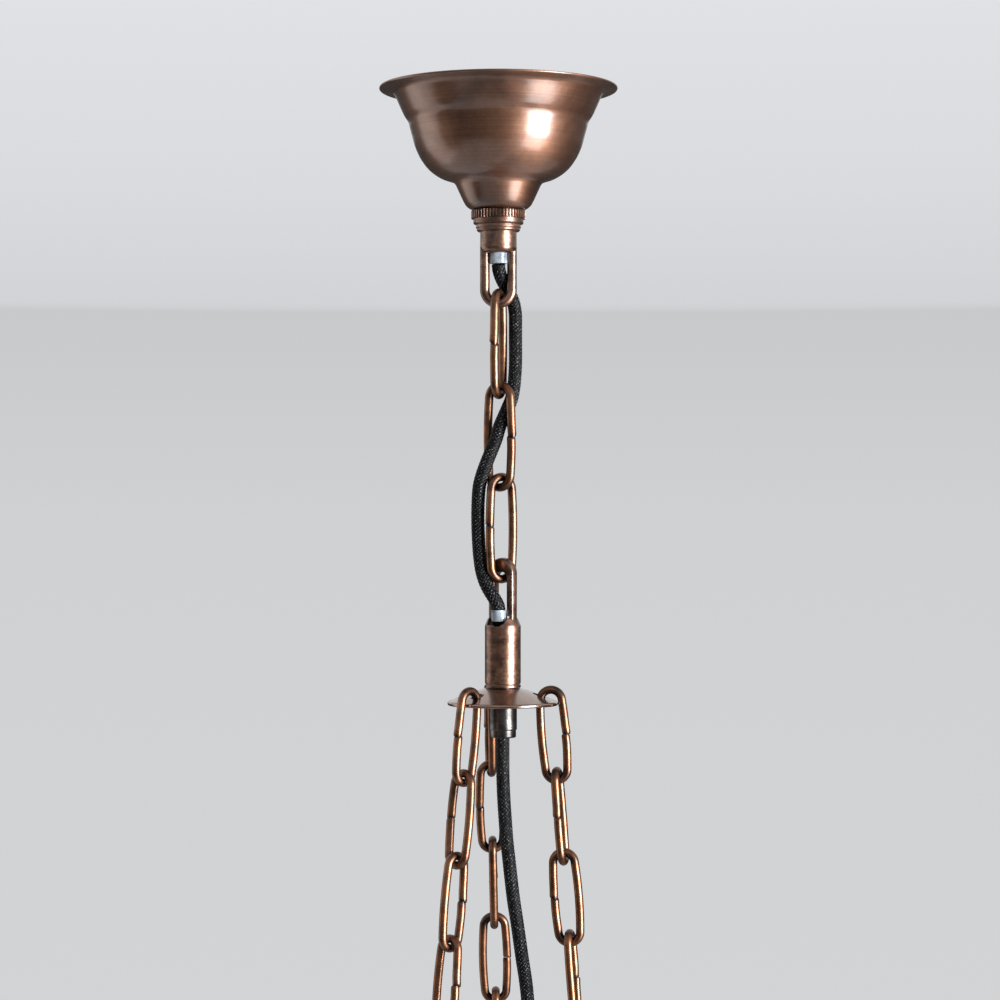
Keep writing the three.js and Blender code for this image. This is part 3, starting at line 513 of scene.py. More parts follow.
rose = {
    "wall": 0.9, "mouth": 9.0, "bottom": -55.4, "sides": 224, "steps": 6,
    "flange": [(54, 0), (54.05, -0.5), (53.7, -1.0), (51.5, -1.35), (49.6, -1.6), (48.3, -2.0),
               (47.3, -2.9), (46.6, -4.2)],
    "cone": [(46.6, -4.2), (45.35, -7.0), (44.15, -9.7), (43.3, -11.5)],
    "bell": [(43.3, -11.5), (42.65, -12.7), (41.85, -13.9), (41.15, -15.0), (40.65, -16.3), (40.25, -18.0),
             (39.25, -21.6), (37.7, -27.0), (35.2, -32.2), (31.4, -37.1), (26.4, -40.6), (21.6, -42.3),
             (20.2, -43.0), (19.3, -44.1)],
    "throat": [(19.3, -44.1), (17.5, -48.0), (15.8, -51.6), (14.7, -53.4), (13.3, -54.6), (11.6, -55.3),
               (9.8, -55.4), (9.0, -55.4)],
}


def ceilingRose():
    # each run of radius and height is splined on its own; the wall follows inside, square to the outline
    runs = [smoothRoute(rose[run], rose["steps"])[:-1] for run in ("flange", "cone", "bell", "throat")]
    outer = np.vstack(runs + [[[rose["mouth"], rose["bottom"]]]])
    inner = offsetInward(outer, rose["wall"])
    inner = inner[(inner[:, 1] < -0.02) & (inner[:, 1] > rose["bottom"] + 0.5)]
    mouthEdge = [[rose["mouth"], rose["bottom"] + rose["wall"]]]
    rimEdge = [[inner[0][0] + 0.2, 0]]
    profile = np.vstack([outer, mouthEdge, inner[::-1], rimEdge])
    piece = makePiece("ceiling_rose", [solidLathe(profile, rose["sides"])], finish["rose"])
    place(piece, "rose", "antique_copper", "rose_cover")


ring = {"top": -55.7, "bore": 8.6, "knurl": 12.35, "neck": 11.4, "teeth": 50, "depth": 0.8,
        "knurlHeight": 3.8, "sides": 800}


def lockRing():
    # a turned outline; the band's points also move in by a wave of teeth with rounded tops
    top, bore, knurl, neck = ring["top"], ring["bore"], ring["knurl"], ring["neck"]
    foot = top - ring["knurlHeight"]
    band = rounded([(bore, top), (knurl, top, 0.3), (knurl, foot, 0.3), (neck, foot)], 0.2, 3)
    lip = rounded([(neck, top - 4.0), (11.35, top - 6.1, 0.5), (10.0, top - 6.2, 0.15),
                   (10.2, top - 6.5, 0.3), (10.25, top - 7.9, 0.4), (9.8, top - 8.1, 0.15),
                   (9.85, top - 9.1, 0.4), (9.0, top - 9.6, 0.2), (bore, top - 9.6)], 0.2, 3)
    profile = np.vstack([band, lip])
    heights = profile[:, 1]
    onBand = (heights > foot + 0.1) & (heights < top - 0.1) & (profile[:, 0] > 12.1)
    depth = np.where(onBand, ring["depth"], 0.12 * (profile[:, 0] > 12.0))

    def teeth(angle):
        wave = 0.5 - 0.5 * np.cos(ring["teeth"] * angle)
        return np.clip(1.5 * wave - 0.25, 0, 1)

    extra = np.linspace(top - 0.35, foot + 0.35, 4)
    insertAt = int(np.argmax(heights < top - 0.6))
    profile = np.insert(profile, insertAt, np.stack([np.full(4, knurl), extra], axis=1), axis=0)
    depth = np.insert(depth, insertAt, np.full(4, ring["depth"]))
    piece = makePiece("knurled_ring", [solidLathe(profile, ring["sides"], teeth=(depth, teeth))],
                      finish["turned"])
    place(piece, "ring", "antique_copper", "lock_ring")


ceilingRose()
lockRing()
print("rose and ring made")


# Loop fitting and its cord grip

fitting = {"radius": 8.3, "top": -48, "bottom": -75, "bore": 4.5, "stud": 5.3, "socket": 14, "dome": 2.6,
           "wire": 2.2, "bar": -97.7, "span": 6.15}
fittingGrip = {"radius": 4.2, "bore": 3.15, "low": -79.7, "high": -63}


def loopFitting():
    # a bored cylinder with a rounded lower end, and a round bar bent into a U whose legs run into it
    r, top, bottom, bore = fitting["radius"], fitting["top"], fitting["bottom"], fitting["bore"]
    seat, inner = top - fitting["socket"], bore + 0.6
    turn = np.linspace(0, math.pi / 2, 12)
    domeHeight = bottom + fitting["dome"] * (1 - np.cos(turn))
    dome = np.stack([inner + (r - inner) * np.sin(turn), domeHeight], axis=1)
    shaft = rounded([(r, bottom + fitting["dome"] + 0.4), (r, top, 0.5), (fitting["stud"], top),
                     (fitting["stud"], seat), (bore, seat), (bore, bottom + 0.6), (inner, bottom + 0.1)],
                    0.25, 5)
    profile = np.vstack([dome, shaft])
    span, arch = fitting["span"], fitting["bar"] + fitting["span"]
    down = np.stack([np.full(14, -span), np.zeros(14), np.linspace(bottom + 4, arch, 14)], axis=1)[:-1]
    turn = np.linspace(math.pi, 2 * math.pi, 40)
    bowl = np.stack([span * np.cos(turn), 0 * turn, arch + span * np.sin(turn)], axis=1)
    path = np.vstack([down, bowl, down[::-1] * [-1, 1, 1]])
    bar = gridPart(sweep(path, fitting["wire"], 32, np.array([0.0, 1.0, 0.0])), caps=(True, True))
    piece = makePiece("loop_on_fitting", [solidLathe(profile, 96), bar], finish["turned"])
    place(piece, "ceiling_mount", "antique_copper", "loop_fitting")


def cordGrip(name, size, node, body, slope=(0, 0), base=(0, 0, 0)):
    # a short sleeve with rounded rims, leaning by slope millimetres sideways for each millimetre up
    radius, bore, low, high = size["radius"], size["bore"], size["low"], size["high"]
    middle = (low + high) / 2
    profile = rounded([(bore, middle), (bore, low, 0.3), (radius, low, 0.4), (radius, high, 0.4),
                       (bore, high, 0.3), (bore, middle + 0.01)], 0.3, 4)
    grid = lathe(profile, 64)
    grid[..., 0] += slope[0] * grid[..., 2]
    grid[..., 1] += slope[1] * grid[..., 2]
    piece = makePiece(name, [gridPart(grid + np.array(base), closeRows=True)], finish["nylon"])
    place(piece, body, "clear_nylon", node)


loopFitting()
cordGrip("fitting_cord_grip", fittingGrip, "upper_cord_grip", "ceiling_mount")
print("fitting made")


# Chains: every link is read from the joints it hangs on

upperLink = {"wire": 1.965, "length": 50.25, "width": 17.05, "bend": 5.9, "play": 0.45, "split": 0.16,
             "sides": 28}
legLink = {"wire": 1.9, "barWire": 1.9, "length": 44.75, "width": 15.1, "bend": 5.0, "play": 0.45,
           "split": 0.16, "sides": 24}
linkCut = {"reach": 3.2, "taper": 0.18, "endShare": 0.9, "lean": 0.35, "leanReach": 1.2}
# tone offsets on each link: a plain one, painted shade in the bends and at the cut, and a lighter outside
linkWearShade = {"plain": 0.06, "bend": 0.34, "cut": 0.4, "cutReach": 0.9, "outside": 0.05}


def linkPath(size, cutShare):
    # Four arcs in the XZ plane that run into each other: long flat ones for the sides and tight ones for the
    # ends. The line starts and stops at the cut on the +X side, measured as a share of the height.
    top = size["barWire"] + size["play"] + size["wire"]
    halfHeight, halfWidth = size["length"] / 2 - size["wire"], size["width"] / 2 - size["wire"]
    bend = size["bend"]
    reach, middle = halfHeight - bend, top - halfHeight
    flat = (halfWidth ** 2 + reach ** 2 - bend ** 2) / (2 * (halfWidth - bend))
    shift, meet = flat - halfWidth, math.atan2(reach, flat - halfWidth)
    cut, gap = math.asin((2 * cutShare - 1) * halfHeight / flat), size["split"] / 2 / flat
    arcs = [(-shift, 0, flat, cut + gap, meet, 24),
            (0, reach, bend, meet, math.pi - meet, 36),
            (shift, 0, flat, math.pi - meet, math.pi + meet, 40),
            (0, -reach, bend, math.pi + meet, 2 * math.pi - meet, 36),
            (-shift, 0, flat, -meet, cut - gap, 24)]
    runs = []
    for x, z, radius, start, end, steps in arcs:
        turn = np.linspace(start, end, steps)
        run = np.stack([x + radius * np.cos(turn), 0 * turn, middle + z + radius * np.sin(turn)], axis=1)
        runs.append(run[:-1])
    last = [[-shift + flat * math.cos(cut - gap), 0, middle + flat * math.sin(cut - gap)]]
    return np.vstack(runs + [last]), middle, reach


def linkPiece(name, node, body, size, origin, down, across, flip, cutShare, seed):
    # The link stands with its own X across and its Z up the chain's line. Its two sheared ends lean alike and
    # stand a little apart; painted shade darkens the bends where the next link hangs and the cut, and the
    # outside is rubbed lighter.
    path, middle, reach = linkPath(size, cutShare)
    along = distances(path)
    remaining = along[-1] - along
    draw = np.random.default_rng(seed).uniform(-1, 1, 4)
    near, far = (np.exp(-(d / linkCut["reach"]) ** 2)[:, None] for d in (along, remaining))
    aside = np.array([0.16 * draw[0] + 0.1, 0.2 * draw[1] + 0.12 * np.sign(draw[1]), 0])
    path = path + aside * near - 0.7 * aside * far
    radius = endTaper(path, size["wire"], linkCut["taper"], linkCut["endShare"])
    grid = sweep(path, radius, size["sides"], np.array([0.0, 1.0, 0.0]))
    outward = grid - path[:, None, :]
    lean = linkCut["lean"] * (draw[2] * outward[..., 0] + draw[3] * outward[..., 1])
    atEnds = np.exp(-along / linkCut["leanReach"]) + np.exp(-remaining / linkCut["leanReach"])
    grid[..., 2] += lean * atEnds[:, None]
    toMiddle = np.array([0, 0, middle]) - path
    toMiddle /= np.linalg.norm(toMiddle, axis=1)[:, None]
    inward = np.einsum("ijk,ik->ij", outward, toMiddle) / size["wire"]
    inBend = np.clip((np.abs(path[:, 2] - middle) - reach + 1.5) / 3, 0, 1)[:, None]
    atCut = np.exp(-np.minimum(along, remaining) / linkWearShade["cutReach"])[:, None]
    # painted shade: darker in the bends where the next link sits, most on the wire's inner face, and at the
    # cut
    wear_and_shade = linkWearShade["plain"] - linkWearShade["bend"] * inBend * (0.35 + np.clip(inward, 0, 1))
    wear_and_shade = wear_and_shade - linkWearShade["cut"] * atCut + linkWearShade["outside"] * np.clip(-inward, 0, 1)
    up = -down
    turn = np.stack([across, np.cross(up, across), up])
    if flip:
        turn[:2] *= -1
    part = gridPart(grid, caps=(True, True))
    part["vertices"] = part["vertices"] @ turn + origin
    # the caps at the cut get the cut's painted shade
    wear_and_shade = np.concatenate([wear_and_shade.ravel(), [-0.3, -0.3]])
    piece = makePiece(name, [part], finish["chain"], {"wear_and_shade": wear_and_shade}, sharp=50)
    place(piece, body, "copper_plated_steel", node)


def jointPlace(name):
    # the joint's point in millimetres
    return np.array(joints[name]["pos_m"]) / mm


def jointAxis(name):
    # the line that the joint turns about
    return np.array(joints[name]["axis"], float)


chainLine = {
    "joints": ["link_1_swing", "link_2_swing", "link_3_swing", "hanger_swing"],
    "shifts": [0.1, 0.6, 1.4], "turnedOver": [True, False, True], "cuts": [0.5, 0.5, 0.52],
}


def upperChain():
    # each link hangs at its own swing joint, a small shift aside, in the plane of the axis that the next
    # piece swings about
    for i in range(3):
        origin = jointPlace(chainLine["joints"][i])
        origin[0] = chainLine["shifts"][i]
        size = dict(upperLink, barWire=fitting["wire"] if i == 0 else upperLink["wire"])
        linkPiece(f"upper_chain_{i + 1}", f"chain_link_{i + 1}", f"upper_link_{i + 1}", size, origin,
                  np.array([0, 0, -1.0]), jointAxis(chainLine["joints"][i + 1]), chainLine["turnedOver"][i],
                  chainLine["cuts"][i], i)


hook = {"wire": 1.6, "eye": 4.6, "cup": 6, "reach": 23, "flare": 0.4, "taper": 0.8, "endShare": 0.35,
        "sides": 24, "wear_and_shade": 0.12}


def hookPath():
    # an S: the eye's arc, a straight back and the cup's arc, joined by one spline in the XZ plane
    eye = legLink["wire"] + legLink["play"] + hook["wire"] - hook["eye"]
    cup = eye - hook["reach"]
    upper = np.radians(np.arange(232, -21, -36))
    lower = np.radians(np.arange(168, 349, 36))
    back = (eye - hook["eye"] + cup + hook["cup"]) / 2
    eyeArc = np.stack([hook["eye"] * np.cos(upper), eye + hook["eye"] * np.sin(upper)], axis=1)
    cupArc = np.stack([hook["cup"] * np.cos(lower), cup + hook["cup"] * np.sin(lower)], axis=1)
    tip = [hook["cup"] + hook["flare"], cup + 0.4 * hook["cup"]]
    flat = np.vstack([eyeArc, [[0, back]], cupArc, [tip]])
    return smoothRoute(np.stack([flat[:, 0], np.zeros(len(flat)), flat[:, 1]], axis=1), 8)


def wireHook(leg, seat, down, across):
    # the S hangs from its seat with its own X across and its Z up the leg's line
    path = hookPath()
    radius = endTaper(path, hook["wire"], hook["taper"], hook["endShare"])
    part = gridPart(sweep(path, radius, hook["sides"], np.array([0.0, 1.0, 0.0])), caps=(True, True))
    part["vertices"] = part["vertices"] @ np.stack([across, np.cross(-down, across), -down]) + seat
    wear_and_shade = np.full(len(part["vertices"]), hook["wear_and_shade"])
    piece = makePiece(f"{leg}_wire_hook", [part], finish["chain"], {"wear_and_shade": wear_and_shade}, sharp=50)
    place(piece, f"{leg}_hook", "copper_plated_steel", f"{leg}_leg_hook")


legs = {
    "right": {"cutSides": (1, -1, -1, 1, 1), "yaws": (-13, 77, -13, 77, -13)},
    "rear": {"cutSides": (1, -1, 1, 1, 1), "yaws": (98, 13, 90, 0, 90)},
    "left": {"cutSides": (1, -1, -1, 1, 1), "yaws": (227, 317, 227, 317, 227)},
}


def heading(yaw):
    # the level direction at a yaw in degrees
    return np.array([math.cos(math.radians(yaw)), math.sin(math.radians(yaw)), 0])


def chainLegs():
    # a leg's line runs through its joints; its first link is one pitch above the second, and each piece is
    # turned so that its side faces its yaw
    for n, (leg, look) in enumerate(legs.items()):
        names = [f"{leg}_link_{i}_swing" for i in range(2, 6)] + [f"{leg}_hook_swing"]
        seats = [jointPlace(name) for name in names]
        planes = [jointAxis(name) for name in names]
        step = seats[1] - seats[0]
        seats.insert(0, seats[0] - step)
        down = step / np.linalg.norm(step)
        for i in range(5):
            across = planes[i] * np.sign(planes[i] @ heading(look["yaws"][i]))
            linkPiece(f"{leg}_chain_{i + 1}", f"{leg}_leg_link_{i + 1}", f"{leg}_link_{i + 1}", legLink,
                      seats[i], down, across, look["cutSides"][i] < 0, 0.5, 10 * n + i + 5)
        across = np.cross(-down, planes[4])
        wireHook(leg, seats[5], down, across * np.sign(across @ heading(look["yaws"][4] + 90)))


upperChain()
chainLegs()
print("chains made")


# Hanger, leg disc and bush

hanger = {
    "x": 2, "yaw": -38, "eyeWidth": 14, "slot": 7, "thickness": 4.46, "edge": 1.0, "outerEdge": 0.9,
    "top": -213, "arch": 6.3, "radius": 8.15, "shoulder": 6.7, "shoulderTop": -240.3,
    "shoulderBottom": -243.8, "bottom": -271.9, "lip": 1.5, "groove": 0.3, "thread": 5, "threadDepth": 12,
    "entry": 3, "rise": 2.1, "sleeve": 3.7, "sleeveBore": 3.15, "sleeveLength": 5.2,
}


def turnedWithHanger(part):
    # turns a part by the hanger's yaw about Z and moves it along X
    c, s = math.cos(math.radians(hanger["yaw"])), math.sin(math.radians(hanger["yaw"]))
    turn = np.array([[c, s, 0], [-s, c, 0], [0, 0, 1]])
    part["vertices"] = part["vertices"] @ turn + np.array([hanger["x"], 0, 0])
    return part


def archLine(half, centre, foot):
    # up one side at half the width, over a half circle about the centre, and down the other side
    turn = np.linspace(0, math.pi, 49)
    share = np.linspace(1, 0, 16)[:-1][:, None]
    side = foot + (centre - foot) * (1 - share)
    arch = np.stack([half * np.cos(turn), centre + half * np.sin(turn)], axis=1)
    return np.vstack([np.hstack([half + 0 * share, side]), arch, np.hstack([-half + 0 * share, side])[::-1]])


def hangerEye():
    # two flats milled on a round bar, with a slot between them: at each step round the arch, the section
    # reaches from the slot's edge to the outer edge, which keeps the roundness of the bar
    half, slot = hanger["eyeWidth"] / 2, hanger["slot"] / 2
    foot = hanger["shoulderBottom"] - 2
    outer = archLine(half, hanger["top"] - half, foot)
    inner = archLine(slot, hanger["top"] - hanger["arch"] - slot, foot)
    t, edge, outerEdge = hanger["thickness"] / 2, hanger["edge"], hanger["outerEdge"]
    corner = np.linspace(0, math.pi / 2, 7)
    width = np.linalg.norm(outer - inner, axis=1)[:, None]
    awayOut = outerEdge * (1 - np.cos(corner))[None, :] / width
    awayIn = edge * (1 - np.cos(corner))[None, :] / width
    share = np.hstack([1 - awayOut, awayIn[:, ::-1], awayIn, 1 - awayOut[:, ::-1]])
    nearOut, nearIn = t - outerEdge * (1 - np.sin(corner)), t - edge * (1 - np.sin(corner))
    across = np.linspace(outerEdge - t, t - outerEdge, 8)[1:-1]
    depth = np.concatenate([nearOut, nearIn[::-1], -nearIn, -nearOut[::-1], across])
    share = np.hstack([share, np.ones((len(width), len(across)))])
    steps = len(corner)
    onOuter = np.concatenate([np.ones(steps), np.zeros(2 * steps), np.ones(steps + len(across))])
    bulge = (half - np.sqrt(half ** 2 - depth ** 2)) * onOuter
    share = share - bulge[None, :] / width
    flat = inner[:, None, :] + (outer - inner)[:, None, :] * share[:, :, None]
    grid = np.stack([flat[..., 0], np.broadcast_to(depth, flat.shape[:2]), flat[..., 1]], axis=-1)
    return gridPart(grid, caps=(True, True))


def boxPart(low, high):
    # a plain cutting block between two corners
    x, y, z = zip(low, high)
    outline = [(x[0], y[0]), (x[1], y[0]), (x[1], y[1]), (x[0], y[1])]
    grid = np.array([[(*p, h) for p in outline] for h in z], float)
    return gridPart(grid, caps=(True, True))


def rodPart(radius, low, high, sides=64, slope=0.0, base=(0, 0, 0)):
    # a plain cutting rod, leaning towards -Y by slope for each millimetre up
    grid = lathe(np.array([[radius, low], [radius, high]], float), sides)
    grid[..., 1] -= slope * grid[..., 2]
    return gridPart(grid + np.array(base, float), caps=(True, True))


def hangerBody():
    # a turned bar, joined to the eye and then cut by its slot, the thread below, the flex's leaning passage
    # and that passage's mouth; a corner's third number is its own rounding
    r, bottom, lip = hanger["radius"], hanger["bottom"], hanger["bottom"] + hanger["lip"]
    groove, shoulderTop = r - hanger["groove"], hanger["shoulderTop"]
    threadTop = bottom + hanger["threadDepth"]
    base, slope = threadTop - 1, hanger["entry"] / (shoulderTop + hanger["rise"] - threadTop + 1)
    profile = rounded([(0.001, bottom), (r, bottom, 0.35), (r, lip - 0.25, 0.15), (groove, lip, 0.1),
                       (groove, lip + 0.3, 0.1), (r, lip + 0.55, 0.15), (r, hanger["shoulderBottom"], 0.6),
                       (hanger["shoulder"], shoulderTop, 0.5), (0.001, shoulderTop)], 0.2, 4)
    body = gridPart(lathe(profile, 96), caps=(True, True))
    slot, passage = hanger["slot"] / 2, hanger["sleeve"] + 0.5
    slotBox = boxPart((-slot, -14, hanger["shoulderBottom"] + 0.3),
                      (slot, 14, hanger["top"] - hanger["arch"] - slot))
    tools = [("eye", hangerEye(), "UNION"),
             ("slot", slotBox, "DIFFERENCE"),
             ("thread", rodPart(hanger["thread"], bottom - 1, threadTop), "DIFFERENCE"),
             ("passage", rodPart(passage, 0, 24, slope=slope, base=(0, 0, base)), "DIFFERENCE"),
             ("mouth", rodPart(4.4, -244.1, -239.4, base=(1.2, -3.6, 0)), "DIFFERENCE")]
    made = [(makePiece("tool_" + label, [turnedWithHanger(part)], finish["turned"]), operation)
            for label, part, operation in tools]
    piece = makePiece("slotted_hanger", [turnedWithHanger(body)], finish["turned"])
    place(carve(piece, made), "hanger_assembly", "antique_copper", "hanger")
    front = np.radians(hanger["yaw"] - 90)
    high = shoulderTop + hanger["rise"] + 1.5 - base
    sleeve = {"radius": hanger["sleeve"], "bore": hanger["sleeveBore"], "low": high - hanger["sleeveLength"],
              "high": high}
    cordGrip("hanger_cord_grip", sleeve, "slot_cord_grip", "hanger_assembly",
             slope=(slope * math.cos(front), slope * math.sin(front)), base=(hanger["x"], 0, base))


disc = {"radius": 25.1, "thickness": 1.7, "flat": 8, "drop": 6.2, "fall": 1.1, "top": -272.2, "bore": 5,
        "hole": 3.0, "circle": 16.9, "azimuths": (-13, 107, 227), "sides": 144}


def discTop(r):
    # level in the middle, then falling as a power of the distance
    share = (np.maximum(r, disc["flat"]) - disc["flat"]) / (disc["radius"] - disc["flat"])
    return disc["top"] - disc["drop"] * share ** disc["fall"]


def legDisc():
    # the dome's top and underside meet in a rounded rim; three rods cut the holes
    r = np.linspace(disc["bore"], disc["radius"] - 0.5, 40)
    top = np.stack([r, discTop(r)], axis=1)
    bend = np.linspace(math.pi / 2, -math.pi / 2, 9)
    half = disc["thickness"] / 2
    rimHeight = discTop(disc["radius"] - 0.4) - half
    rim = np.stack([disc["radius"] - 0.6 + 0.6 * np.cos(bend), rimHeight + half * np.sin(bend)], axis=1)
    under = np.stack([r, discTop(r) - disc["thickness"]], axis=1)[::-1]
    dome = solidLathe(np.vstack([top, rim, under]), disc["sides"], (hanger["x"], 0))
    piece = makePiece("domed_disc", [dome], finish["disc"])
    tools = []
    for azimuth in disc["azimuths"]:
        x = hanger["x"] + disc["circle"] * math.cos(math.radians(azimuth))
        y = disc["circle"] * math.sin(math.radians(azimuth))
        rod = rodPart(disc["hole"], disc["top"] - 12, disc["top"] + 1, 40, base=(x, y, 0))
        tools.append((makePiece("tool_hole", [rod], finish["turned"]), "DIFFERENCE"))
    place(carve(piece, tools), "hanger_assembly", "antique_copper", "leg_disc")


bush = {"head": 6.4, "tip": 6, "stem": 4.7, "bore": 3.5, "stemTop": -260.2, "headTop": -274.2,
        "step": -290.8, "bottom": -294.6, "sides": 96}


def discBush():
    # a bored stem inside the hanger and a head below the disc, with a small step before its rounded end
    b = bush
    profile = rounded([(b["bore"], -280), (b["bore"], b["stemTop"]), (b["stem"], b["stemTop"]),
                       (b["stem"], b["headTop"]), (b["head"], b["headTop"]), (b["head"], b["step"], 0.25),
                       (b["tip"], b["step"] - 0.3, 0.1), (b["tip"], b["bottom"], 0.8),
                       (b["bore"] + 0.3, b["bottom"], 0.3), (b["bore"], b["bottom"] + 0.5),
                       (b["bore"], -280.01)], 0.15, 4)
    piece = makePiece("flex_bush", [solidLathe(profile, b["sides"], (hanger["x"], 0))], finish["bush"])
    place(piece, "hanger_assembly", "black_bush", "disc_bush")


hangerBody()
legDisc()
discBush()
print("hanger made")


# Lampholder below the photograph's edge

holder = {
    "x": 6.8, "top": -503, "radius": 19, "wall": 1.2, "neckBore": 4.5, "neckHeight": 4, "dome": 11, "cap": 18,
    "skirt": 30, "ribs": 19, "ribPitch": 0.8, "ribDepth": 0.35, "gap": 0.3, "socket": 13.5,
    "socketLength": 20, "sheet": 0.35, "threadPitch": 3.63, "threadDepth": 0.45, "grip": 4.2,
    "gripBore": 3.15, "shade": 26, "sides": 128,
}
holderAxis = (holder["x"], 0)
insideWall = holder["radius"] - holder["wall"]
capBottom = holder["top"] - holder["cap"]
skirtTop = capBottom - holder["gap"]


def domeLine(start, end, high, drop):
    # a quarter of an ellipse: from the radius start at the height high out to the radius end, drop below it
    arc = np.linspace(0, math.pi / 2, 20)
    return np.stack([start + (end - start) * np.sin(arc), high - drop * (1 - np.cos(arc))], axis=1)


def holderCap():
    # a neck, a dome and a straight rim, with a smaller dome inside
    radius, bore, top, dome = holder["radius"], holder["neckBore"], holder["top"], holder["dome"]
    neck, neckRadius = top - holder["neckHeight"], bore + holder["wall"]
    neckTop = rounded([(bore, neck - 1), (bore, top, 0.3), (neckRadius, top, 0.4), (neckRadius, neck + 0.3)],
                      0.3, 4)
    rim = rounded([(radius, neck - dome - 0.4), (radius, capBottom, 0.4), (insideWall, capBottom, 0.2),
                   (insideWall, neck - dome)], 0.3, 4)
    outside = domeLine(neckRadius, radius, neck, dome)
    inside = domeLine(bore, insideWall, neck - 1.6, dome - 0.8)
    profile = np.vstack([neckTop, outside, rim, inside[::-1]])
    piece = makePiece("holder_cap_shell", [solidLathe(profile, holder["sides"], holderAxis)],
                      finish["turned"])
    place(piece, "lampholder", "antique_copper", "holder_cap")


def holderGrip():
    # a plain bored sleeve round the flex, standing a little above the neck
    radius, bore, high, low = holder["grip"], holder["gripBore"], holder["top"] + 3, holder["top"] - 7
    profile = rounded([(bore, -505), (bore, high, 0.3), (radius, high, 0.5), (radius, low, 0.2),
                       (bore, low, 0.2), (bore, -505.01)], 0.3, 4)
    piece = makePiece("holder_grip_sleeve", [solidLathe(profile, 64, holderAxis)], finish["bush"])
    place(piece, "lampholder", "black_bush", "holder_cord_grip")


def holderSkirt():
    # a straight shell whose outline steps in and out as rings, with a lip at its mouth
    radius, bottom = holder["radius"], skirtTop - holder["skirt"]
    mouth = holder["socket"] + holder["gap"]
    ribs = [(radius - (holder["ribDepth"] if k % 2 else 0), skirtTop - 2 - holder["ribPitch"] * k, 0.3)
            for k in range(1, holder["ribs"] + 1)]
    profile = rounded([(insideWall, skirtTop), (radius, skirtTop, 0.4), *ribs, (radius, bottom, 0.8),
                       (mouth, bottom, 0.4), (mouth, bottom + 2), (insideWall, bottom + 2),
                       (insideWall, skirtTop - 0.01)], 0.2, 3)
    piece = makePiece("holder_skirt_shell", [solidLathe(profile, holder["sides"], holderAxis)],
                      finish["turned"])
    place(piece, "lampholder", "antique_copper", "holder_skirt")


def screwSocket():
    # a rolled thread: the radius is a wave of the height plus a share of the angle, and the sheet follows
    # inside
    top = capBottom + 1.9 - 10 - holder["gap"]
    height = np.linspace(top, top - holder["socketLength"], 90)
    angle = np.linspace(0, 2 * math.pi, 96, endpoint=False)
    phase = 2 * math.pi * height[:, None] / holder["threadPitch"] + angle[None, :]
    outward = holder["socket"] - holder["threadDepth"] * (0.5 - 0.5 * np.cos(phase))

    def rows(radius):
        level = height[:, None] * np.ones(len(angle))
        return np.stack([holder["x"] + radius * np.cos(angle), radius * np.sin(angle), level], axis=-1)

    grid = np.concatenate([rows(outward), rows(outward - holder["sheet"])[::-1]])
    piece = makePiece("rolled_socket", [gridPart(grid, closeRows=True)], finish["brass"])
    place(piece, "lampholder", "plain_brass", "screw_socket")


def shadeRing():
    # a short collar with a flat flange
    high, inner, flange = skirtTop - 9, holder["radius"] + holder["gap"], holder["shade"]
    low = high - 6
    profile = rounded([(inner, high - 1), (inner, high, 0.2), (inner + 1.4, high, 0.4),
                       (inner + 1.4, low + 2, 0.4), (flange, low + 2, 0.4), (flange, low, 0.5),
                       (inner, low, 0.2), (inner, high - 1.01)], 0.3, 4)
    piece = makePiece("shade_collar_ring", [solidLathe(profile, holder["sides"], holderAxis)],
                      finish["turned"])
    place(piece, "shade_collar", "antique_copper", "shade_ring")


holderCap()
holderGrip()
holderSkirt()
screwSocket()
shadeRing()
print("lampholder made")


# Bracket, plate and wires inside the rose keep their solids and get their finishes

solids = {
    "zinc": ["ceiling_plate", "bridge_bracket", "threaded_stud"],
    "brass": ["upper_stud_nut", "lower_stud_nut", "terminal_screw_1", "terminal_screw_2", "terminal_screw_3",
              "centre_contact"],
    "polyamide": ["terminal_block"],
    "porcelain": ["holder_insert"],
    "brown": ["live_core"],
    "blue": ["neutral_core"],
    "green": ["earth_core"],
    "braid": ["flex_inlet", "flex_in_hanger"],
}
edgeFinish = {"weld": 0.00002, "bevel": 0.00025, "angle": 50,
              "on": ("zinc", "brass", "polyamide", "porcelain")}


def dressSolids():
    # the solids' loose faces are welded, and the hard ones' edges are broken
    for label, names in solids.items():
        for name in names:
            node = frame["nodes"][name]
            node.data.materials.clear()
            node.data.materials.append(finish[label])
            weld = node.modifiers.new("weld", "WELD")
            weld.merge_threshold = edgeFinish["weld"]
            if label in edgeFinish["on"]:
                bevel = node.modifiers.new("bevel", "BEVEL")
                bevel.width, bevel.segments, bevel.limit_method = edgeFinish["bevel"], 2, "ANGLE"
                bevel.angle_limit = math.radians(edgeFinish["angle"])


dressSolids()
for node in frame["nodes"].values():
    if not node.hide_render and not node.data.materials:
        node.data.materials.append(finish["turned"])
print("solids dressed")


# Floor, light and background

studio = {
    "floorHeight": -1900, "floorReach": 2200, "floorColour": "d9dadc", "aim": -0.15, "spread": 95,
    "wall": [(0.0, "d3d4d6"), (0.5, "d0d1d3"), (0.69, "c8c9cb"), (0.692, "d1d3d6"), (0.8, "dadbde"),
             (1.0, "e2e3e6")],
    "room": [(0.0, 0.05), (0.3, 0.05), (0.45, 0.06), (0.52, 0.06), (0.545, 0.7), (0.84, 0.8), (1.0, 0.3)],
}
lights = {
    "key": {"azimuth": 56, "elevation": -4, "distance": 1.6, "width": 0.85, "height": 0.85, "power": 18.5},
    "low key": {"azimuth": 56, "elevation": -24, "distance": 1.6, "width": 0.85, "height": 1.1, "power": 5},
    "left panel": {"azimuth": -106, "elevation": -14, "distance": 1.5, "width": 1.05, "height": 1.8,
                   "power": 2.3, "colour": "fff6f0"},
}


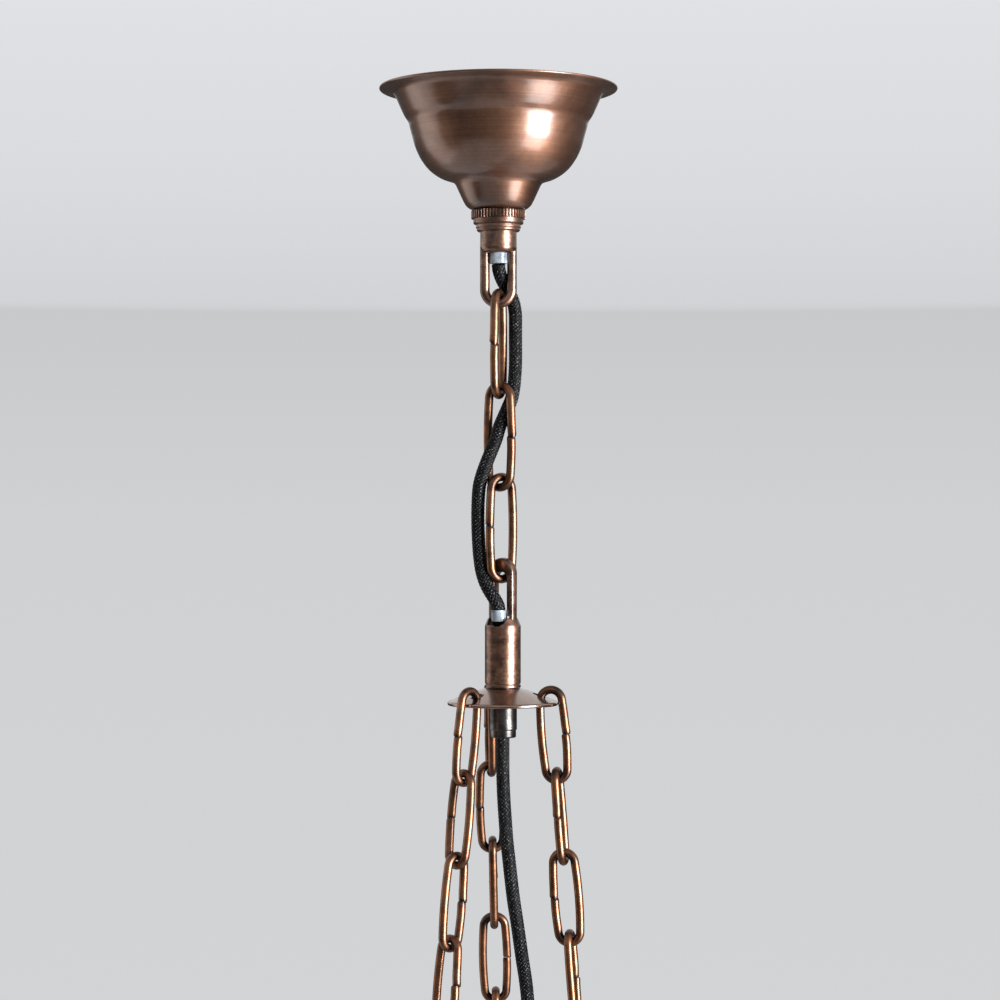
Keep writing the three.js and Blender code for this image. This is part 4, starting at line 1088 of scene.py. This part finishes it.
def setStage():
    # a pale floor well below, outside the photograph's view
    reach, level = studio["floorReach"], studio["floorHeight"]
    floorGrid = np.array([[(x * reach, y * reach, level) for x in (-1, 1)] for y in (-1, 1)], float)
    material, tree = newMaterial("pale floor")
    addSurface(tree, {"Base Color": studio["floorColour"], "Roughness": 0.7})
    floor = makePiece("floor", [gridPart(floorGrid, around=False)], material)


def softbox(name, azimuth, elevation, distance, width, height, power, colour="ffffff"):
    # a rectangular light facing the object, in metres; azimuth 0 is the camera's side and 90 the right
    data = bpy.data.lights.new(name, "AREA")
    data.shape, data.size, data.size_y = "RECTANGLE", width, height
    data.energy, data.color, data.spread = power, linearColour(colour)[:3], math.radians(studio["spread"])
    light = bpy.data.objects.new(name, data)
    a, e = math.radians(azimuth), math.radians(elevation)
    offset = Vector((math.sin(a) * math.cos(e), -math.cos(a) * math.cos(e), math.sin(e))) * distance
    light.location = Vector((0, 0, studio["aim"])) + offset
    light.rotation_euler = (-offset).to_track_quat("-Z", "Y").to_euler()
    bpy.context.scene.collection.objects.link(light)


def setWorld():
    # the camera sees a pale wall below a paler ceiling, with their edge a little over the horizon;
    # the metal sees a dim room below a bright ceiling
    world = bpy.data.worlds.new("studio")
    bpy.context.scene.world = world
    world.use_nodes = True
    tree = world.node_tree
    tree.nodes.clear()
    direction = addNode(tree, "TexCoord")
    axes = addNode(tree, "SeparateXYZ", {"Vector": direction.outputs["Generated"]})
    height = addNode(tree, "MapRange", {"Value": axes.outputs["Z"], "From Min": -0.2, "From Max": 0.2})
    backdrop = addNode(tree, "ValToRGB", {"Fac": height.outputs["Result"]}, ramp=studio["wall"])
    level = addNode(tree, "MapRange", {"Value": axes.outputs["Z"], "From Min": -1.0, "From Max": 1.0})
    room = addNode(tree, "ValToRGB", {"Fac": level.outputs["Result"]}, ramp=studio["room"])
    rays = addNode(tree, "LightPath")
    seen = addNode(tree, "Background", {"Color": backdrop.outputs["Color"], "Strength": 1.0})
    lit = addNode(tree, "Background", {"Color": room.outputs["Color"], "Strength": 1.0})
    mixed = addNode(tree, "MixShader", {"Fac": rays.outputs["Is Camera Ray"], 1: lit.outputs["Background"],
                                        2: seen.outputs["Background"]})
    addNode(tree, "OutputWorld", {"Surface": mixed.outputs["Shader"]})


setStage()
for name, light in lights.items():
    softbox(name, **light)
setWorld()
bpy.context.scene.view_settings.view_transform = "Standard"
print("stage and lights set")
